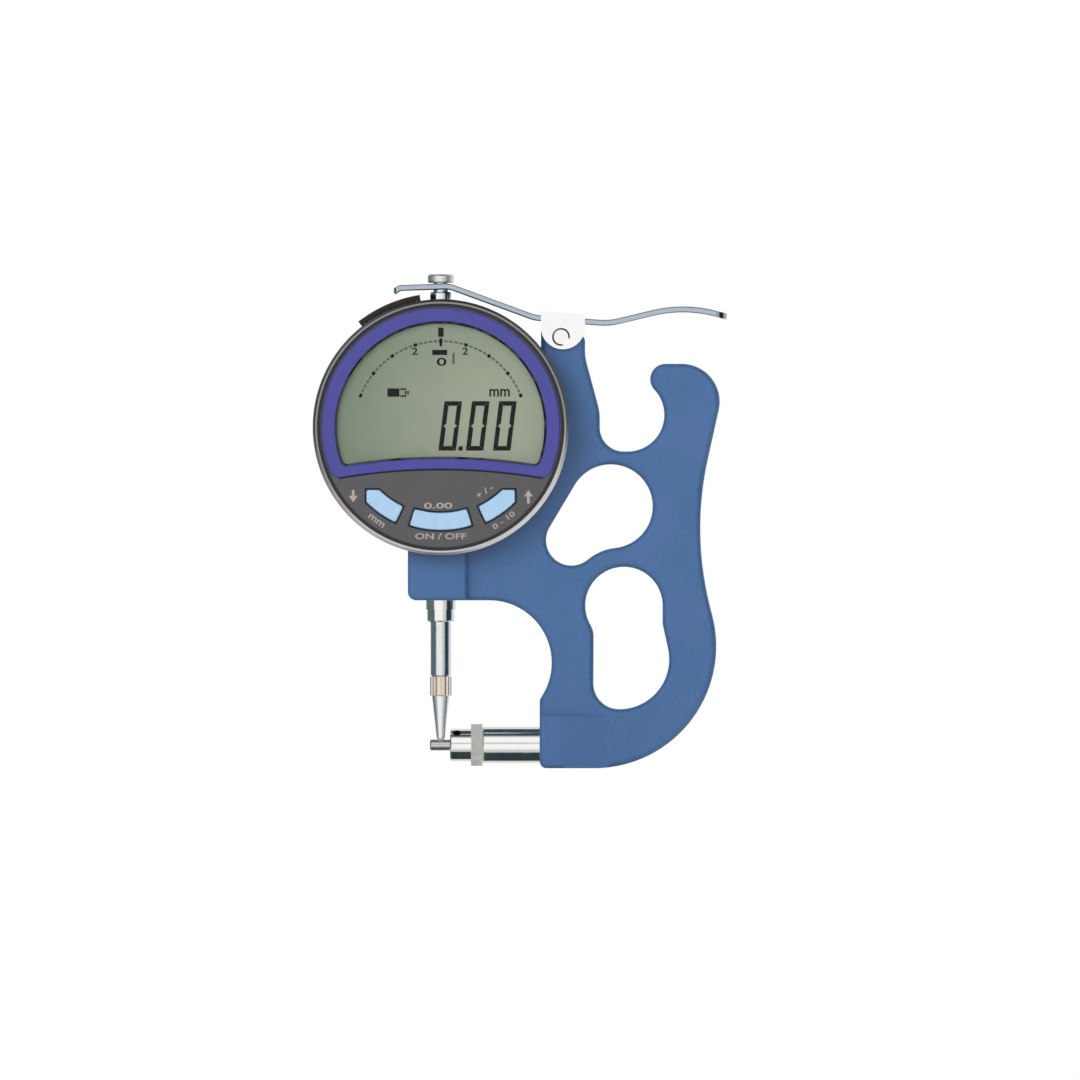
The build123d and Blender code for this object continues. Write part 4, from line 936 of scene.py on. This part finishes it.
# Painted shadow in the gap round each key.
line_round("key_lines", key_shapes, start=0.13, width=0.30, finish=print_black)
print("keys framed:", len(key_shapes))

# %% The painted shadow along the rim, and under the arch
rim_shadow_radius, rim_shadow_sides = 28.15, 120
last_turn = 2 * math.pi * (rim_shadow_sides - 1) / rim_shadow_sides
rim_shadow_shape = arc_points(rim_shadow_radius, 0, last_turn, rim_shadow_sides)
# Painted shadow along the inside of the panel's rim.
line_round("panel_border", [rim_shadow_shape], start=0.0, width=0.75, finish=border_grey)

arch_radius, arch_top, arch_half, arch_step = 140.0, -9.8, 24, 2
line_top, line_foot = 0.02, 0.34
arch_centre = DIAL_Z + arch_top - arch_radius
arch_x = range(-arch_half, arch_half + 1, arch_step)
arch_line = [(x, arch_centre + math.sqrt(arch_radius ** 2 - x ** 2)) for x in arch_x]
arch_shadow_quads = []
for (x0, z0), (x1, z1) in zip(arch_line, arch_line[1:]):
    arch_shadow_quads.append([(x0, z0 - line_top), (x1, z1 - line_top), (x1, z1 - line_foot), (x0, z0 - line_foot)])
# Painted shadow under the violet ring's flat edge.
flat_marks("arch_line", arch_shadow_quads, print_black, panel_front)
print("border sides:", rim_shadow_sides, "arch pieces:", len(arch_shadow_quads))

# %% [markdown]
# ## The floor
#
# The photograph is a plain product picture on white, taken straight from the front. The floor is a
# large pale sheet just under the jaw, which that view sees edge on. It is paper that takes the
# gauge's shadow. For the camera's own rays a share of plain white is mixed in, which makes the
# sheet paler without more light on the gauge.

# %% The floor
floor_gap, reach, paper_white, white_share = 0.05, 6.0, 0.80, 0.55
floor_z = cad_box[0].z - mm(floor_gap)
floor_mesh = bpy.data.meshes.new("floor")
floor_corners = [(x * reach, y * reach, floor_z) for x, y in ((-1, -1), (1, -1), (1, 1), (-1, 1))]
floor_mesh.from_pydata(floor_corners, [], [(0, 1, 2, 3)])
floor = new_piece("floor", floor_mesh)
floor_paper = new_finish("floor_paper", (paper_white, paper_white, paper_white), 0.85)
emboss(floor_paper, noise(floor_paper, placed(floor_paper), size=2.0), height=0.01)
camera_ray = add_node(floor_paper, "ShaderNodeLightPath").outputs["Is Camera Ray"]
floor_share = add_node(floor_paper, "ShaderNodeMath", {1: white_share}, operation="MULTIPLY")
join(floor_paper, camera_ray, floor_share.inputs[0])
floor_white = add_node(floor_paper, "ShaderNodeEmission")
floor_mix = add_node(floor_paper, "ShaderNodeMixShader")
for socket, source in zip(floor_mix.inputs, (floor_share, shader_of(floor_paper), floor_white)):
    join(floor_paper, source.outputs[0], socket)
floor_surface = floor_paper.node_tree.nodes["Material Output"].inputs["Surface"]
join(floor_paper, floor_mix.outputs[0], floor_surface)
floor_mesh.materials.append(floor_paper)
floor.visible_glossy = False
print("floor at", round(floor_z * 1000, 3), "mm")

# %% [markdown]
# ## The room
#
# Polished metal shows the room rather than itself. A tall white screen stands in front, a little
# dimmer on its right and at its foot, with the strip where the camera looks through. The room
# behind is pale, and the sides are dark, the right one darker than the left. They draw the crisp
# dark lines along every bright bar. Low in the corners lie two pale sheets, which light the lower
# half of the dial's rim. Every level is a soft step: as a direction turns to the right, to the back
# or to the top, it passes between two places, and the light goes from one level to another on the
# way. Steps that belong to one screen are multiplied, and the brightest level wins.

# %% Helpers for the room
room = bpy.data.worlds.new("white_room")
bpy.context.scene.world = room
room.use_nodes = True
room_nodes, room_links = room.node_tree.nodes, room.node_tree.links
room_nodes.clear()


def room_math(operation, first, *others):
    for other in others:
        node = room_nodes.new("ShaderNodeMath")
        node.operation = operation
        room_links.new(first, node.inputs[0])
        if isinstance(other, float):
            node.inputs[1].default_value = other
        else:
            room_links.new(other, node.inputs[1])
        first = node.outputs[0]
    return first


def soft_step(value, places, levels):
    node = room_nodes.new("ShaderNodeMapRange")
    node.interpolation_type = "SMOOTHSTEP"
    for socket, number in zip(("From Min", "From Max", "To Min", "To Max"), (*places, *levels)):
        node.inputs[socket].default_value = number
    room_links.new(value, node.inputs["Value"])
    return node.outputs["Result"]


direction = room_nodes.new("ShaderNodeTexCoord")
split = room_nodes.new("ShaderNodeSeparateXYZ")
room_links.new(direction.outputs["Generated"], split.inputs[0])
to_right, to_back, to_top = (split.outputs[letter] for letter in "XYZ")
print("room directions:", to_right.name, to_back.name, to_top.name)

# %% The front screen
in_front = soft_step(to_back, places=(-0.30, -0.10), levels=(1.0, 0.0))
left_edge = soft_step(to_right, places=(-0.84, -0.74), levels=(0.0, 1.0))
right_dimming = soft_step(to_right, places=(0.18, 0.42), levels=(0.34, 0.0))
right_edge = soft_step(to_right, places=(0.66, 0.80), levels=(0.68, 0.0))
top_edge = soft_step(to_top, places=(0.72, 0.95), levels=(1.0, 0.0))
foot_dimming = soft_step(to_top, places=(-0.52, -0.42), levels=(0.0, 0.35))
foot_edge = soft_step(to_top, places=(-0.80, -0.70), levels=(0.0, 0.67))
strip_foot = soft_step(to_top, places=(0.10, 0.15), levels=(1.0, 0.55))
strip_top = soft_step(to_top, places=(0.24, 0.29), levels=(0.0, 0.45))
screen_right = room_math("ADD", right_dimming, right_edge)
screen_foot = room_math("ADD", foot_dimming, foot_edge)
lens_strip = room_math("ADD", strip_foot, strip_top)
front_screen = room_math("MULTIPLY", left_edge, screen_right, top_edge, screen_foot, lens_strip, in_front)
print("room nodes with the screen:", len(room_nodes))

# %% The walls and the low sheets
back_turn = 0.456
turned_back = room_math("ADD", to_back, room_math("MULTIPLY", to_right, back_turn))
back_wall = soft_step(turned_back, places=(0.46, 0.60), levels=(0.0, 0.80))
side_walls = soft_step(to_right, places=(-0.85, 0.25), levels=(0.17, 0.035))
low_corner = room_math("MULTIPLY", to_top, -2.0, to_right)
low_right = soft_step(low_corner, places=(0.12, 0.70), levels=(0.0, 1.3))
low_left = soft_step(low_corner, places=(-0.60, -0.10), levels=(0.85, 0.0))
below = soft_step(to_top, places=(-0.25, 0.0), levels=(1.0, 0.0))
not_behind = soft_step(to_back, places=(0.0, 0.3), levels=(1.0, 0.0))
sheets = room_math("MULTIPLY", room_math("ADD", low_right, low_left), below, not_behind)
level = room_math("MAXIMUM", front_screen, back_wall, side_walls, sheets)
print("room nodes with the walls:", len(room_nodes))

# %% [markdown]
# Three backgrounds share the world. Polished metal gets the mirrored room, whose dim parts are a
# little teal. Everything that isn't polished gets an even plain light. The camera sees white paper:
# pure white when it is level, and as bright as the floor when it looks down, so that the floor's
# edge doesn't show.

# %% The three backgrounds
plain_level, floor_level = 0.22, 0.82
wall_teal, teal_until = (0.55, 0.96, 1.0, 1), 0.6
plain, white, mirrored = (room_nodes.new("ShaderNodeBackground") for _ in range(3))
for background in (plain, white, mirrored):
    background.inputs["Color"].default_value = (1, 1, 1, 1)
plain.inputs["Strength"].default_value = plain_level
wall_colour = room_nodes.new("ShaderNodeValToRGB")
wall_colour.color_ramp.elements[0].color = wall_teal
wall_colour.color_ramp.elements[1].color = (1, 1, 1, 1)
wall_colour.color_ramp.elements[1].position = teal_until
room_links.new(level, wall_colour.inputs["Fac"])
room_links.new(wall_colour.outputs["Color"], mirrored.inputs["Color"])
room_links.new(level, mirrored.inputs["Strength"])
paper_level = soft_step(to_top, places=(-0.12, -0.02), levels=(floor_level, 1.0))
room_links.new(paper_level, white.inputs["Strength"])


def room_mix(*sources):
    mix = room_nodes.new("ShaderNodeMixShader")
    for socket, source in zip(mix.inputs, sources):
        room_links.new(source, socket)
    return mix.outputs[0]


ray = room_nodes.new("ShaderNodeLightPath").outputs
seen = room_math("MAXIMUM", ray["Is Camera Ray"], ray["Is Transmission Ray"])
lit = room_mix(ray["Is Glossy Ray"], plain.outputs[0], mirrored.outputs[0])
world_output = room_nodes.new("ShaderNodeOutputWorld")
room_links.new(room_mix(seen, lit, white.outputs[0]), world_output.inputs["Surface"])
print("room nodes in all:", len(room_nodes))

# %% [markdown]
# ## The lamps
#
# Four square screens light what isn't polished, two from the front and two from behind, so that the
# back of the gauge can be looked at as well. They stand far off and are large, which keeps their
# shadows soft. Metal doesn't mirror them, because the room already holds what it should show.

# %% The lamps
target = Vector((0.0185, 0.0, 0.052))


def lamp(name, place, size, power):
    light = bpy.data.lights.new(name, "AREA")
    light.shape, light.size, light.energy = "SQUARE", size, power
    holder = new_piece(name, light)
    holder.location = place
    holder.rotation_euler = (target - Vector(place)).to_track_quat("-Z", "Y").to_euler()
    holder.visible_glossy = False
    holder.visible_camera = False


lamp("front_left_screen", (-0.86, -1.56, 0.70), size=1.04, power=17.5)
lamp("front_right_screen", (0.62, -1.56, 0.56), size=1.00, power=8.0)
lamp("back_left_screen", (-1.05, 1.30, 0.75), size=1.04, power=11.5)
lamp("back_right_screen", (1.02, 1.35, 0.82), size=1.04, power=13.0)

# %% [markdown]
# ## The camera
#
# Nothing in the photograph converges, so the camera is a parallel one, level with the gauge and
# square to the dial. Its scale is the photograph's own: 1080 pixels of 0.234 mm.

# %% The camera
camera_distance, photo_middle = 0.6, PHOTO_SIZE / 2
camera_data = bpy.data.cameras.new("camera")
camera_data.type = "ORTHO"
camera_data.ortho_scale = mm(PHOTO_SIZE * PIXEL)
camera_data.clip_start, camera_data.clip_end = 0.01, 10.0
camera = new_piece("camera", camera_data)
camera.location = (mm(photo_x(photo_middle)), -camera_distance, mm(photo_z(photo_middle)))
camera.rotation_euler = (math.radians(90), 0, 0)
bpy.context.scene.camera = camera
bpy.context.scene.view_settings.view_transform = "Standard"
print("picture is", round(PHOTO_SIZE * PIXEL, 1), "mm wide")

# %% [markdown]
# ## Measure and finish
#
# The construction model's box is printed.

# %% Print the model's box
print("model box", [tuple(round(v, 4) for v in corner) for corner in cad_box])
